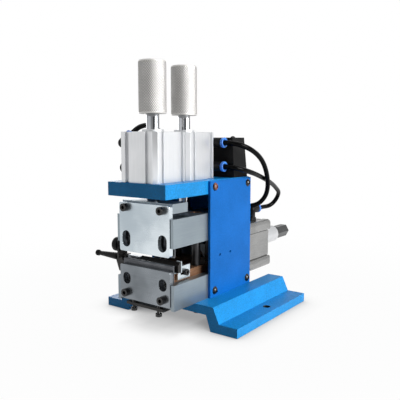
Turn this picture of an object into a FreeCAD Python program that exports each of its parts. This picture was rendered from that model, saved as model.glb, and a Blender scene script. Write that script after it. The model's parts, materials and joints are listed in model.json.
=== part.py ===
import FreeCAD, Part
import math
import os

import Sketcher

# Pneumatic bench machine that clamps, cuts and strips the insulation of a wire.
# The origin lies on the floor, midway between the two bench bolts. +X is the right side of the machine, +Y points
# to the strip cylinder at the rear and +Z is up. The wire goes in from the front, between the two clamp plates.

Vector = FreeCAD.Vector
X_AXIS = Vector(1, 0, 0)
Y_AXIS = Vector(0, 1, 0)
Z_AXIS = Vector(0, 0, 1)

os.makedirs("parts", exist_ok=True)
doc = FreeCAD.newDocument("wire_stripper")

# Driving dimensions in millimetres, measured from the origin where they are places
SIZES = {
    # bench plate
    "base_half_width": 95.8,
    "base_front": -84.4,
    "base_length": 160.0,
    "base_top": 27.7,
    "flange_top": 10.3,
    "flange_inner": 72.7,
    "crown_half_width": 64.7,
    "channel_half_width": 61.5,
    "channel_top_half_width": 55.5,
    "channel_top": 17.7,
    "notch_half_width": 43.4,
    "bench_hole_radius": 4.1,
    "bench_hole_place": 83.4,
    # body
    "body_half_width": 40.8,
    "body_front": -120.4,
    "body_rear": 26.2,
    "block_top": 55.4,
    "wall_thickness": 15.2,
    "roof_front": -133.2,
    "roof_bottom": 146.4,
    "roof_top": 161.5,
    "cover_thickness": 3.0,
    "cover_front": -59.8,
    "cover_top": 160.8,
    # clamp plates
    "plate_half_width": 36.0,
    "plate_thickness": 5.3,
    "plate_back": -116.2,
    "upper_plate_bottom": 84.4,
    "upper_plate_top": 138.9,
    "lower_plate_bottom": 30.5,
    "lower_plate_top": 69.2,
    "pocket_half_width": 36.5,
    "plate_screw_place": 26.0,
    "upper_screw_height": 133.4,
    "lower_screw_height": 38.0,
    # knife carriage
    "trough_floor": 42.0,
    "trough_half_width": 31.2,
    "dovetail_half_width": 36.0,
    "dovetail_top": 48.0,
    "slide_fit": 0.1,
    "slide_half_width": 30.0,
    "slide_top": 64.0,
    "slide_front": -114.0,
    "slide_rear": -22.0,
    "crosshead_length": 12.0,
    "crosshead_half_width": 28.0,
    "crosshead_bottom": 44.0,
    "crosshead_top": 80.0,
    "strip_axis_height": 65.5,
    "strip_stroke": 20.0,
    "post_radius": 5.0,
    "post_place": 24.0,
    "front_post_row": -60.0,
    "rear_post_row": -34.0,
    "post_bottom": 46.0,
    "post_top": 122.0,
    "bush_radius": 7.0,
    "running_fit": 0.05,
    # knife arm and blades
    "arm_half_width": 40.3,
    "arm_rear": -26.0,
    "arm_bottom": 94.3,
    "arm_top": 125.0,
    "arm_recess_floor": 113.0,
    "arm_recess_rear": -88.0,
    "blade_thickness": 1.9,
    "upper_blade_back": -111.8,
    "upper_blade_bottom": 83.2,
    "upper_blade_top": 112.0,
    "upper_blade_screw": 98.5,
    "lower_blade_top": 75.2,
    "lower_blade_bottom": 44.0,
    "lower_blade_step": 56.0,
    "lower_blade_neck": 30.5,
    "lower_blade_screw": 54.0,
    "slot_front": -83.0,
    "slot_neck_half_width": 7.4,
    "slot_head_half_width": 11.4,
    "slot_head_bottom": 109.0,
    "slot_head_top": 118.0,
    # vertical cylinders
    "clamp_axis": -105.0,
    "knife_axis": -51.0,
    "barrel_half_width": 26.0,
    "barrel_top": 215.0,
    "barrel_bore": 20.0,
    "bolt_place": 18.4,
    "rod_radius": 7.0,
    "rod_shoulder": 234.0,
    "rod_tip": 262.0,
    "rod_tip_radius": 6.0,
    "gland_thickness": 10.0,
    "lower_gland_bottom": 163.5,
    "upper_gland_bottom": 202.0,
    "gland_boss_radius": 12.0,
    "gland_boss_top": 217.5,
    "piston_bottom": 191.5,
    "piston_thickness": 10.0,
    "press_stroke": 14.5,
    "knob_radius": 15.0,
    "knob_top": 289.5,
    "clamp_block_bottom": 130.0,
    "clamp_block_top": 140.4,
    "clamp_block_rear": -90.7,
    # strip cylinder
    "strip_half_width": 32.0,
    "strip_rear": 100.0,
    "strip_bore": 25.0,
    "strip_bolt_place": 24.2,
    "strip_rod_radius": 8.0,
    "strip_gland_front": 28.2,
    "strip_gland_length": 12.0,
    "strip_piston_front": 41.0,
    "strip_piston_length": 12.0,
    "strip_cap_front": 86.0,
    "sleeve_radius": 12.0,
    "sleeve_rear": 163.0,
    "stop_shank_radius": 6.0,
    "stop_shank_front": 74.0,
    "nut_length": 5.0,
    "hex_across_flats": 17.0,
    "hex_rear": 200.0,
    # air fittings and hoses
    "port_offset": 12.5,
    "hose_radius": 3.0,
    "collet_radius": 6.2,
    "collet_length": 3.6,
    "elbow_radius": 5.6,
    # valve under its cover
    "valve_front": -6.0,
    "valve_rear": 24.0,
    "valve_top": 209.0,
    "valve_half_width": 40.0,
    "valve_draft": 3.8,
    "valve_wall": 2.5,
}

sheet = doc.addObject("Spreadsheet::Sheet", "sizes")
for line_number, (alias, number) in enumerate(SIZES.items(), start=1):
    sheet.set(f"A{line_number}", alias)
    sheet.set(f"B{line_number}", str(number))
    sheet.setAlias(f"B{line_number}", alias)
doc.recompute()


class Size:
    """A length that carries its number and the spreadsheet formula that it comes from."""

    def __init__(self, number, formula):
        self.number = number
        self.formula = formula

    def _with(self, other, sign, number):
        return Size(number, f"({self.formula} {sign} {formula_of(other)})")

    def __add__(self, other):
        return self._with(other, "+", self.number + number_of(other))

    def __sub__(self, other):
        return self._with(other, "-", self.number - number_of(other))

    def __mul__(self, other):
        return self._with(other, "*", self.number * number_of(other))

    def __truediv__(self, other):
        return self._with(other, "/", self.number / number_of(other))

    def __neg__(self):
        return self * -1.0

    def __radd__(self, other):
        return self + other

    def __rsub__(self, other):
        return -self + other

    def __rmul__(self, other):
        return self * other


def number_of(value):
    return value.number if isinstance(value, Size) else float(value)


def formula_of(value):
    return value.formula if isinstance(value, Size) else repr(float(value))


class Sizes:
    """Reads the sheet's cells by alias."""

    def __getattr__(self, alias):
        return Size(float(sheet.get(alias)), f"sizes.{alias}")


size = Sizes()


def bind(thing, prop, value):
    """Sets a property, or binds it to the sheet where the value comes from there."""
    if isinstance(value, Size):
        thing.setExpression(prop, value.formula)
    else:
        setattr(thing, prop, value)


def place(thing, x=0.0, y=0.0, z=0.0, rotation=None):
    """Puts a sub-part at a point, each coordinate bound to the sheet where it comes from there."""
    point = Vector(number_of(x), number_of(y), number_of(z))
    thing.Placement = FreeCAD.Placement(point, rotation or FreeCAD.Rotation())
    for axis, value in (("x", x), ("y", y), ("z", z)):
        if isinstance(value, Size):
            thing.setExpression(f"Placement.Base.{axis}", value.formula)
    return thing


def box(name, x_range, y_range, z_range):
    solid = doc.addObject("Part::Box", name)
    for prop, (low, high) in zip(("Length", "Width", "Height"), (x_range, y_range, z_range)):
        bind(solid, prop, high - low)
    return place(solid, x_range[0], y_range[0], z_range[0])


def cylinder(name, start, length, radius, direction=Z_AXIS):
    solid = doc.addObject("Part::Cylinder", name)
    bind(solid, "Radius", radius)
    bind(solid, "Height", length)
    return place(solid, *start, FreeCAD.Rotation(Z_AXIS, direction))


def cone(name, start, length, radius, end_radius, direction=Z_AXIS):
    solid = doc.addObject("Part::Cone", name)
    bind(solid, "Radius1", radius)
    bind(solid, "Radius2", end_radius)
    bind(solid, "Height", length)
    return place(solid, *start, FreeCAD.Rotation(Z_AXIS, direction))


def tube(name, start, length, radius, bore, direction=Z_AXIS):
    outside = cylinder(f"{name}_outside", start, length, radius, direction)
    return cut(name, outside, cylinder(f"{name}_bore", start, length, bore, direction))


def hexagon(name, start, length, across_flats, direction=Z_AXIS):
    solid = doc.addObject("Part::Prism", name)
    solid.Polygon = 6
    bind(solid, "Circumradius", across_flats / math.sqrt(3.0))
    bind(solid, "Height", length)
    return place(solid, *start, FreeCAD.Rotation(Z_AXIS, direction))


def fuse(name, *solids):
    whole = doc.addObject("Part::MultiFuse", name)
    whole.Shapes = list(solids)
    whole.Refine = True
    return whole


def cut(name, base, *tools):
    tool = tools[0] if len(tools) == 1 else fuse(f"{name}_tools", *tools)
    rest = doc.addObject("Part::Cut", name)
    rest.Base = base
    rest.Tool = tool
    rest.Refine = True
    return rest


def group(name, solids):
    together = doc.addObject("Part::Compound", name)
    together.Links = list(solids)
    return together


def body_of(name):
    body = doc.addObject("PartDesign::Body", name)
    body.Label = name
    return body


def origin_plane(body, plane):
    return next(feature for feature in body.Origin.OriginFeatures if feature.Role == f"{plane}_Plane")


def sketch_on(body, plane, height=0.0):
    sketch = body.newObject("Sketcher::SketchObject", f"{body.Name}_sketch")
    sketch.AttachmentSupport = [(origin_plane(body, plane), "")]
    sketch.MapMode = "FlatFace"
    sketch.AttachmentOffset = FreeCAD.Placement(Vector(0, 0, number_of(height)), FreeCAD.Rotation())
    if isinstance(height, Size):
        sketch.setExpression("AttachmentOffset.Base.z", height.formula)
    return sketch


def pin_down(sketch, line, end, across, along):
    """Fixes one end of a line, or a circle's centre, at its distances from the sketch's origin."""
    for kind, value in (("DistanceX", across), ("DistanceY", along)):
        constraint = sketch.addConstraint(Sketcher.Constraint(kind, -1, 1, line, end, number_of(value)))
        if isinstance(value, Size):
            sketch.setExpression(f"Constraints[{constraint}]", value.formula)


def draw_polygon(sketch, corners):
    first = sketch.GeometryCount
    points = [Vector(number_of(a), number_of(b), 0) for a, b in corners]
    for start, end in zip(points, points[1:] + points[:1]):
        sketch.addGeometry(Part.LineSegment(start, end), False)
    count = len(corners)
    for index in range(count):
        following = first + (index + 1) % count
        sketch.addConstraint(Sketcher.Constraint("Coincident", first + index, 2, following, 1))
    for index, (across, along) in enumerate(corners):
        pin_down(sketch, first + index, 1, across, along)


def draw_circle(sketch, centre, radius):
    middle = Vector(number_of(centre[0]), number_of(centre[1]), 0)
    circle = sketch.addGeometry(Part.Circle(middle, Z_AXIS, number_of(radius)), False)
    constraint = sketch.addConstraint(Sketcher.Constraint("Radius", circle, number_of(radius)))
    if isinstance(radius, Size):
        sketch.setExpression(f"Constraints[{constraint}]", radius.formula)
    pin_down(sketch, circle, 3, *centre)


def draw_slot(sketch, centre, half_span, radius):
    """An upright slot: two half circles joined by two sides."""
    across, along = (number_of(value) for value in centre)
    turn = math.pi
    top = Part.ArcOfCircle(Part.Circle(Vector(across, along + half_span, 0), Z_AXIS, radius), 0, turn)
    bottom = Part.ArcOfCircle(Part.Circle(Vector(across, along - half_span, 0), Z_AXIS, radius), turn, 2 * turn)
    left = Part.LineSegment(top.EndPoint, bottom.StartPoint)
    right = Part.LineSegment(bottom.EndPoint, top.StartPoint)
    first = sketch.GeometryCount
    for curve in (top, left, bottom, right):
        sketch.addGeometry(curve, False)
    for index in range(4):
        following = first + (index + 1) % 4
        sketch.addConstraint(Sketcher.Constraint("Coincident", first + index, 2, following, 1))
    pin_down(sketch, first, 3, centre[0], centre[1] + half_span)
    pin_down(sketch, first + 2, 3, centre[0], centre[1] - half_span)
    for arc in (first, first + 2):
        sketch.addConstraint(Sketcher.Constraint("Radius", arc, radius))


def prism(name, plane, corners, start, length, circles=(), slots=()):
    """A profile drawn in a plane and padded along that plane's axis, with its holes."""
    body = body_of(name)
    sketch = sketch_on(body, plane)
    draw_polygon(sketch, corners)
    for centre, radius in circles:
        draw_circle(sketch, centre, radius)
    for centre, half_span, radius in slots:
        draw_slot(sketch, centre, half_span, radius)
    pad = body.newObject("PartDesign::Pad", f"{name}_pad")
    pad.Profile = sketch
    bind(pad, "Length", length)
    pad.Reversed = plane == "XZ"
    shift = {"XY": "z", "XZ": "y", "YZ": "x"}[plane]
    return place(body, **{shift: start})


def turned(name, profile, x=0.0, y=0.0, z=0.0, rotation=None):
    """A profile of radius and height turned about the upright axis."""
    body = body_of(name)
    sketch = sketch_on(body, "XZ")
    draw_polygon(sketch, profile)
    turn = body.newObject("PartDesign::Revolution", f"{name}_turn")
    turn.Profile = sketch
    turn.ReferenceAxis = (sketch, ["V_Axis"])
    turn.Angle = 360.0
    return place(body, x, y, z, rotation)


def soften(body, kind, amount, wanted):
    """Rounds or chamfers the edges of a body's last feature for which wanted(edge) is true."""
    doc.recompute()
    last = body.Tip
    names = [f"Edge{number}" for number, edge in enumerate(last.Shape.Edges, start=1) if wanted(edge)]
    feature = body.newObject(f"PartDesign::{kind}", f"{body.Name}_{kind.lower()}")
    feature.Base = (last, names)
    setattr(feature, "Radius" if kind == "Fillet" else "Size", amount)
    return body


def runs_along(edge, axis):
    """True for a straight edge along an axis."""
    if not isinstance(edge.Curve, Part.Line):
        return False
    return abs(abs(edge.Curve.Direction.dot(axis)) - 1.0) < 1e-6


def rectangle(half_width, low, high):
    return [(-half_width, low), (half_width, low), (half_width, high), (-half_width, high)]


def mirrored(points):
    """The right half of an outline, from its foot to its top, and its mirror image."""
    return points + [(-across, along) for across, along in reversed(points)]


# Screws: the shank points down from the seat, the head stands on it
def screw(kind, radius, length, head_radius, head_height, socket):
    shank = Part.makeCylinder(radius, length, Vector(0, 0, -length))
    if kind == "cap":
        head = Part.makeCylinder(head_radius, head_height)
    elif kind == "flat":
        head = Part.makeCone(radius, head_radius, head_height, Vector(0, 0, -head_height))
    else:
        rise = head_height
        ball = (head_radius**2 + rise**2) / (2.0 * rise)
        head = Part.makeSphere(ball, Vector(0, 0, rise - ball))
        head = head.common(Part.makeCylinder(head_radius, rise))
    top = 0.0 if kind == "flat" else head_height
    depth = 0.5 * head_height
    corners = [
        Vector(socket * math.cos(math.radians(60 * n)), socket * math.sin(math.radians(60 * n)), top - depth)
        for n in range(6)
    ]
    recess = Part.Face(Part.makePolygon(corners + corners[:1])).extrude(Vector(0, 0, 2 * depth))
    return shank.fuse(head).removeSplitter().cut(recess)


def screws(name, template, seats, head_side):
    """Identical screws as one sub-part. head_side is the way their heads face."""
    turn = FreeCAD.Rotation(Z_AXIS, head_side)
    copies = []
    for seat in seats:
        copy = template.copy()
        copy.Placement = FreeCAD.Placement(Vector(*(number_of(value) for value in seat)), turn)
        copies.append(copy)
    feature = doc.addObject("Part::Feature", name)
    feature.Shape = Part.makeCompound(copies)
    return feature


M5_CAP = ("cap", 2.5, 16.0, 4.4, 5.0, 2.3)
M5_BUTTON = ("button", 2.5, 9.0, 4.75, 2.9, 1.7)
M4_FLAT = ("flat", 2.0, 7.0, 3.6, 1.7, 1.4)
M4_CAP = ("cap", 2.0, 12.0, 3.5, 4.0, 1.7)
sub_parts = []


def keep(thing):
    """Marks a finished sub-part for export under its own label."""
    thing.Label = thing.Name
    sub_parts.append(thing)
    return thing


shared = {}


def share(name, *things):
    """Adds pieces to a group of like pieces that together are one sub-part."""
    shared.setdefault(name, []).extend(things)


def keep_shared():
    for name, things in shared.items():
        keep(group(name, things))


# Bench plate, folded to a hat section and notched at the rear
def make_base_plate():
    outside = [
        (size.channel_half_width, 0.0),
        (size.base_half_width, 0.0),
        (size.base_half_width, size.flange_top),
        (size.flange_inner, size.flange_top),
        (size.crown_half_width, size.base_top),
    ]
    inside = [(size.channel_top_half_width, size.channel_top)]
    section = outside + [(-a, b) for a, b in reversed(outside)]
    section += [(-inside[0][0], inside[0][1]), inside[0]]
    plate = prism("hat_section", "XZ", section, size.base_front, size.base_length)
    rear = size.base_front + size.base_length
    notch = box(
        "rear_notch",
        (-size.notch_half_width, size.notch_half_width),
        (size.body_rear, rear + 1.0),
        (size.channel_top - 1.0, size.base_top + 1.0),
    )
    holes = [
        cylinder(f"bench_hole_{side}", (side * size.bench_hole_place, 0.0, -1.0), 13.0, size.bench_hole_radius)
        for side in (-1, 1)
    ]
    seats = [(side * BASE_SCREW_X, row, size.channel_top) for side in (-1, 1) for row in BASE_SCREW_ROWS]
    bores = [
        cylinder(f"base_screw_hole_{n}", (x, y, z - 1.0), 12.0, 2.5) for n, (x, y, z) in enumerate(seats)
    ]
    keep(cut("base_plate", plate, notch, *holes, *bores))
    share("frame_screws", screws("base_screws", screw(*M5_CAP), seats, -Z_AXIS))


BASE_SCREW_X = 33.0
BASE_SCREW_ROWS = (-70.0, 14.0)


# Lower block that carries everything, with the dovetail trough of the knife slide
def make_lower_block():
    front, rear = size.body_front, size.body_rear
    half = size.body_half_width
    block = box("block", (-half, half), (front, rear), (size.base_top, size.block_top))
    pocket = box(
        "plate_pocket",
        (-size.pocket_half_width, size.pocket_half_width),
        (front - 1.0, size.plate_back),
        (size.base_top - 1.0, size.block_top + 1.0),
    )
    trough = prism(
        "trough",
        "XZ",
        mirrored(
            [
                (size.dovetail_half_width, size.trough_floor),
                (size.trough_half_width, size.dovetail_top),
                (size.trough_half_width, size.block_top + 1.0),
            ]
        ),
        front - 1.0,
        rear - size.wall_thickness - front + 1.0,
    )
    bores = [
        cylinder(f"block_thread_{side}_{row}", (side * BASE_SCREW_X, row, size.base_top - 1.0), 7.5, 2.5)
        for side in (-1, 1)
        for row in BASE_SCREW_ROWS
    ]
    side_threads = side_bores("block", COVER_LOW_SCREWS)
    front_threads = [
        cylinder(
            f"plate_thread_{side}",
            (side * size.plate_screw_place, size.plate_back - 1.0, size.lower_screw_height),
            13.0,
            2.5,
            Y_AXIS,
        )
        for side in (-1, 1)
    ]
    tools = [pocket, trough] + bores + side_threads + front_threads + strip_threads("block", -1)
    keep(cut("lower_block", block, *tools))


COVER_LOW_SCREWS = ((-50.6, 35.0), (19.2, 35.0))
COVER_HIGH_SCREWS = ((-50.6, 154.2), (19.2, 154.2))
COVER_PIN_HOLES = ((-40.4, 75.0), (-18.8, 75.0))


def side_bores(name, places):
    """Threads for the cover screws, from both sides."""
    depth = 8.0
    return [
        cylinder(
            f"{name}_side_thread_{side}_{n}",
            (side * (size.body_half_width + 1.0), y, z),
            depth + 1.0,
            2.5,
            -side * X_AXIS,
        )
        for side in (-1, 1)
        for n, (y, z) in enumerate(places)
    ]


def strip_threads(name, level):
    """Threads for two bolts of the strip cylinder, above its axis at level 1 and below it at level -1."""
    return [
        cylinder(
            f"{name}_strip_thread_{side}",
            (side * size.strip_bolt_place, size.body_rear - 10.0, size.strip_axis_height + level * size.strip_bolt_place),
            11.0,
            2.5,
            Y_AXIS,
        )
        for side in (-1, 1)
    ]


def make_rear_wall():
    half = size.body_half_width
    front = size.body_rear - size.wall_thickness
    wall = box("wall", (-half, half), (front, size.body_rear), (size.block_top, size.roof_bottom))
    passage = cylinder(
        "rod_passage",
        (0.0, front - 1.0, size.strip_axis_height),
        size.wall_thickness + 2.0,
        size.strip_rod_radius + 0.5,
        Y_AXIS,
    )
    keep(cut("rear_wall", wall, passage, *strip_threads("wall", 1)))


# Roof plate that carries both vertical cylinders
def make_top_plate():
    half = size.body_half_width
    outline = rectangle(half, size.roof_front, size.body_rear)
    circles = [((0.0, axis), size.rod_radius + 0.5) for axis in (size.clamp_axis, size.knife_axis)]
    circles += [
        ((side * size.bolt_place, axis + row * size.bolt_place), 2.5)
        for axis in (size.clamp_axis, size.knife_axis)
        for side in (-1, 1)
        for row in (-1, 1)
    ]
    plate = prism("roof", "XY", outline, size.roof_bottom, size.roof_top - size.roof_bottom, circles)
    keep(cut("top_plate", plate, *side_bores("roof", COVER_HIGH_SCREWS)))


def make_covers():
    """Side covers and the button screws that hold them."""
    corners = [
        (size.cover_front, size.base_top),
        (size.body_rear, size.base_top),
        (size.body_rear, size.cover_top),
        (size.cover_front, size.cover_top),
    ]
    circles = [((y, z), 2.6) for y, z in COVER_LOW_SCREWS + COVER_HIGH_SCREWS]
    circles += [((y, z), 1.5) for y, z in COVER_PIN_HOLES]
    right = size.body_half_width
    keep(prism("right_cover", "YZ", corners, right, size.cover_thickness, circles))
    keep(prism("left_cover", "YZ", corners, -right - size.cover_thickness, size.cover_thickness, circles))
    face = size.body_half_width + size.cover_thickness
    for name, side in (("right_cover_screws", 1), ("left_cover_screws", -1)):
        seats = [(side * face, y, z) for y, z in COVER_LOW_SCREWS + COVER_HIGH_SCREWS]
        share("button_screws", screws(name, screw(*M5_BUTTON), seats, side * X_AXIS))


# Lower clamp plate, its height bar and the two screws that hang from it
def make_lower_clamp():
    plate_face = size.plate_back - size.plate_thickness
    holes = [((side * size.plate_screw_place, size.lower_screw_height), 2.6) for side in (-1, 1)]
    windows = [((side * size.plate_screw_place, size.lower_blade_screw), 1.1, 5.5) for side in (-1, 1)]
    outline = rectangle(size.plate_half_width, size.lower_plate_bottom, size.lower_plate_top)
    plate = prism("lower_clamp_plate", "XZ", outline, plate_face, size.plate_thickness, holes, windows)
    soften(plate, "Fillet", 2.0, lambda edge: is_outer_corner(edge, number_of(size.plate_half_width)))
    keep(plate)
    seats = [(side * size.plate_screw_place, plate_face, size.lower_screw_height) for side in (-1, 1)]
    share("frame_screws", screws("lower_plate_screws", screw(*M5_CAP), seats, -Y_AXIS))
    bar_half, bar_bottom = 27.0, 24.6
    bar = box("bar", (-bar_half, bar_half), (plate_face, size.base_front), (bar_bottom, size.base_top))
    holes = [cylinder(f"bar_hole_{side}", (side * HEIGHT_SCREW_X, HEIGHT_SCREW_Y, 20.0), 10.0, 2.0) for side in (-1, 1)]
    keep(cut("height_bar", bar, *holes))
    hanging = screw("cap", 2.0, 9.0, 3.5, 3.5, 1.7)
    low_seats = [(side * HEIGHT_SCREW_X, HEIGHT_SCREW_Y, 21.5) for side in (-1, 1)]
    keep(screws("height_screws", hanging, low_seats, -Z_AXIS))


HEIGHT_SCREW_X = 18.0
HEIGHT_SCREW_Y = -118.8


def is_outer_corner(edge, half_width):
    """True for an edge along Y at the side of a plate."""
    return runs_along(edge, Y_AXIS) and abs(abs(edge.Vertexes[0].Point.x) - half_width) < 0.01


# Square cylinder barrels: extruded section with a flat panel and grooves on each side
def barrel_section(half):
    """Quarter by quarter outline of the extrusion: corner lobe, narrow groove, flat panel, wide groove."""
    depth = 1.6
    steps = [
        (half - 4.0, half),
        (half - 9.5, half),
        (half - 9.5, half - 3.0),
        (half - 14.2, half - 3.0),
        (half - 14.2, half - depth / 2.0),
        (-half + 14.5, half - depth / 2.0),
        (-half + 14.5, half - 3.0),
        (-half + 6.0, half - 3.0),
        (-half + 6.0, half),
        (-half + 4.0, half),
    ]
    outline = []
    for quarter in range(4):
        for across, along in steps:
            for _ in range(quarter):
                across, along = -along, across
            outline.append((across, along))
    return outline


def make_barrel(name, half, bore, bolt_place, length):
    """An upright barrel with its foot at the origin: bore, four bolt holes and their counterbores."""
    corners = [(bolt_place * a, bolt_place * b) for a in (-1, 1) for b in (-1, 1)]
    circles = [((0.0, 0.0), bore)] + [(corner, 2.7) for corner in corners]
    section = prism(f"{name}_section", "XY", barrel_section(half), 0.0, length, circles)
    head_depth = 5.6
    pockets = [
        cylinder(f"{name}_counterbore_{n}", (x, y, length - head_depth), head_depth + 1.0, 4.5)
        for n, (x, y) in enumerate(corners)
    ]
    return cut(name, section, *pockets)


KNIFE_PORT_X = 14.0
PORT_LEVELS = (203.0, 175.0)
STRIP_PORT_ROWS = (41.0, 82.0)
PANEL_DEPTH = 0.8
PORT_DEPTH = 3.0


def cylinder_ports(role):
    """Each air port of a cylinder, as its place on the face and the way it opens."""
    if role == "knife":
        return [((KNIFE_PORT_X, size.knife_axis + size.barrel_half_width, z), Y_AXIS) for z in PORT_LEVELS]
    if role == "clamp":
        return [((-size.barrel_half_width, size.clamp_axis, z), -X_AXIS) for z in PORT_LEVELS]
    top_face = size.strip_axis_height + size.strip_half_width
    return [((size.port_offset, y, top_face), Z_AXIS) for y in STRIP_PORT_ROWS]


def port_seats(role):
    """The holes that the elbow stems sit in, with a spot face for each hexagon."""
    seats = []
    for n, (port, way) in enumerate(cylinder_ports(role)):
        outside = Vector(*(number_of(value) for value in port)) + way
        depth = PORT_DEPTH + 1.0
        seats.append(cylinder(f"{role}_port_{n}", tuple(outside), depth, size.elbow_radius - 0.8, -way))
        seats.append(cylinder(f"{role}_spot_face_{n}", tuple(outside), PANEL_DEPTH + 1.0, 7.2, -way))
    return seats


def snap_ring(name, start, bore, direction=Z_AXIS):
    """A flat ring with a gap, sprung into the bore."""
    thickness = 1.4
    ring = tube(f"{name}_ring", start, thickness, bore, bore - 2.2, direction)
    gap = cylinder(f"{name}_gap", start, thickness, 4.0, direction)
    reach = number_of(bore)
    side = X_AXIS if direction != X_AXIS else Y_AXIS
    gap.Placement.Base = gap.Placement.Base + side * reach
    return cut(name, ring, gap)


def make_press_cylinder(role, axis):
    """Barrel, glands, rings and bolts of one of the two vertical cylinders."""
    length = size.barrel_top - size.roof_top
    blank = make_barrel(f"{role}_blank", size.barrel_half_width, size.barrel_bore, size.bolt_place, length)
    place(blank, 0.0, axis, size.roof_top)
    keep(cut(f"{role}_barrel", blank, *port_seats(role)))
    seats = [
        (side * size.bolt_place, axis + row * size.bolt_place, size.barrel_top - 5.6)
        for side in (-1, 1)
        for row in (-1, 1)
    ]
    share("cylinder_bolts", screws(f"{role}_bolts", screw("cap", 2.5, 56.0, 4.4, 5.0, 2.3), seats, Z_AXIS))
    bore = size.rod_radius + size.running_fit
    top = size.upper_gland_bottom + size.gland_thickness
    upper = [
        (bore, size.upper_gland_bottom),
        (size.barrel_bore, size.upper_gland_bottom),
        (size.barrel_bore, top),
        (size.gland_boss_radius, top),
        (size.gland_boss_radius, size.gland_boss_top),
        (bore, size.gland_boss_top),
    ]
    share("rod_glands", turned(f"{role}_upper_gland", upper, y=axis))
    low = size.lower_gland_bottom
    lower = tube(f"{role}_lower_gland", (0.0, axis, low), size.gland_thickness, size.barrel_bore, bore)
    share("rod_glands", lower)
    rings = [
        snap_ring(f"{role}_ring_high", (0.0, axis, top), size.barrel_bore),
        snap_ring(f"{role}_ring_low", (0.0, axis, low - 1.4), size.barrel_bore),
    ]
    share("snap_rings", *rings)


def make_plunger(role, axis, foot):
    """Piston rod, piston and seal. foot lists the rod's profile below the shaft, from the centre out."""
    rod_profile = foot + [
        (size.rod_radius, size.rod_shoulder),
        (size.rod_tip_radius, size.rod_shoulder),
        (size.rod_tip_radius, size.rod_tip),
        (0.0, size.rod_tip),
    ]
    keep(turned(f"{role}_rod", rod_profile, y=axis))
    low, high = size.piston_bottom, size.piston_bottom + size.piston_thickness
    outer = size.barrel_bore - 0.4
    groove = size.barrel_bore - 2.6
    seal_low, seal_high = low + 3.5, high - 3.5
    piston = [
        (size.rod_radius, low),
        (outer, low),
        (outer, seal_low),
        (groove, seal_low),
        (groove, seal_high),
        (outer, seal_high),
        (outer, high),
        (size.rod_radius, high),
    ]
    lip = size.barrel_bore - size.running_fit
    seal = [(groove, seal_low), (lip, seal_low), (lip, seal_high), (groove, seal_high)]
    pieces = [turned(f"{role}_piston_disc", piston, y=axis), turned(f"{role}_piston_seal", seal, y=axis)]
    keep(group(f"{role}_piston", pieces))
    rim, bevel = 1.2, 1.0
    bore = size.rod_tip_radius + size.running_fit
    foot_level = size.rod_shoulder + 0.1
    knob = [
        (bore, foot_level),
        (size.knob_radius - bevel, foot_level),
        (size.knob_radius, foot_level + bevel),
        (size.knob_radius, size.knob_top - bevel),
        (size.knob_radius - bevel, size.knob_top),
        (0.0, size.knob_top),
        (0.0, size.rod_tip + rim),
        (bore, size.rod_tip + rim),
    ]
    keep(turned(f"{role}_knob", knob, y=axis))


# Clamp: rod, block and upper plate move down together
def make_clamp():
    spigot = 5.0
    foot = [
        (0.0, size.clamp_block_bottom),
        (spigot, size.clamp_block_bottom),
        (spigot, size.clamp_block_top),
        (size.rod_radius, size.clamp_block_top),
    ]
    make_plunger("clamp", size.clamp_axis, foot)
    block = box(
        "clamp_bar",
        (-size.plate_half_width, size.plate_half_width),
        (size.plate_back, size.clamp_block_rear),
        (size.clamp_block_bottom, size.clamp_block_top),
    )
    socket = cylinder("clamp_socket", (0.0, size.clamp_axis, size.clamp_block_bottom - 1.0), 13.0, spigot)
    threads = [
        cylinder(
            f"clamp_thread_{side}",
            (side * size.plate_screw_place, size.plate_back - 1.0, size.upper_screw_height),
            13.0,
            2.5,
            Y_AXIS,
        )
        for side in (-1, 1)
    ]
    keep(cut("clamp_block", block, socket, *threads))
    plate_face = size.plate_back - size.plate_thickness
    outline = rectangle(size.plate_half_width, size.upper_plate_bottom, size.upper_plate_top)
    holes = [((side * size.plate_screw_place, size.upper_screw_height), 2.6) for side in (-1, 1)]
    windows = [((side * size.plate_screw_place, size.upper_blade_screw), 3.0, 6.0) for side in (-1, 1)]
    plate = prism("upper_clamp_plate", "XZ", outline, plate_face, size.plate_thickness, holes, windows)
    soften(plate, "Fillet", 2.5, lambda edge: is_outer_corner(edge, number_of(size.plate_half_width)))
    keep(plate)
    seats = [(side * size.plate_screw_place, plate_face, size.upper_screw_height) for side in (-1, 1)]
    keep(screws("upper_plate_screws", screw(*M5_CAP), seats, -Y_AXIS))


POST_SIDES = (-1, 1)


def post_places():
    return [(side * size.post_place, row) for side in POST_SIDES for row in (size.front_post_row, size.rear_post_row)]


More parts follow.
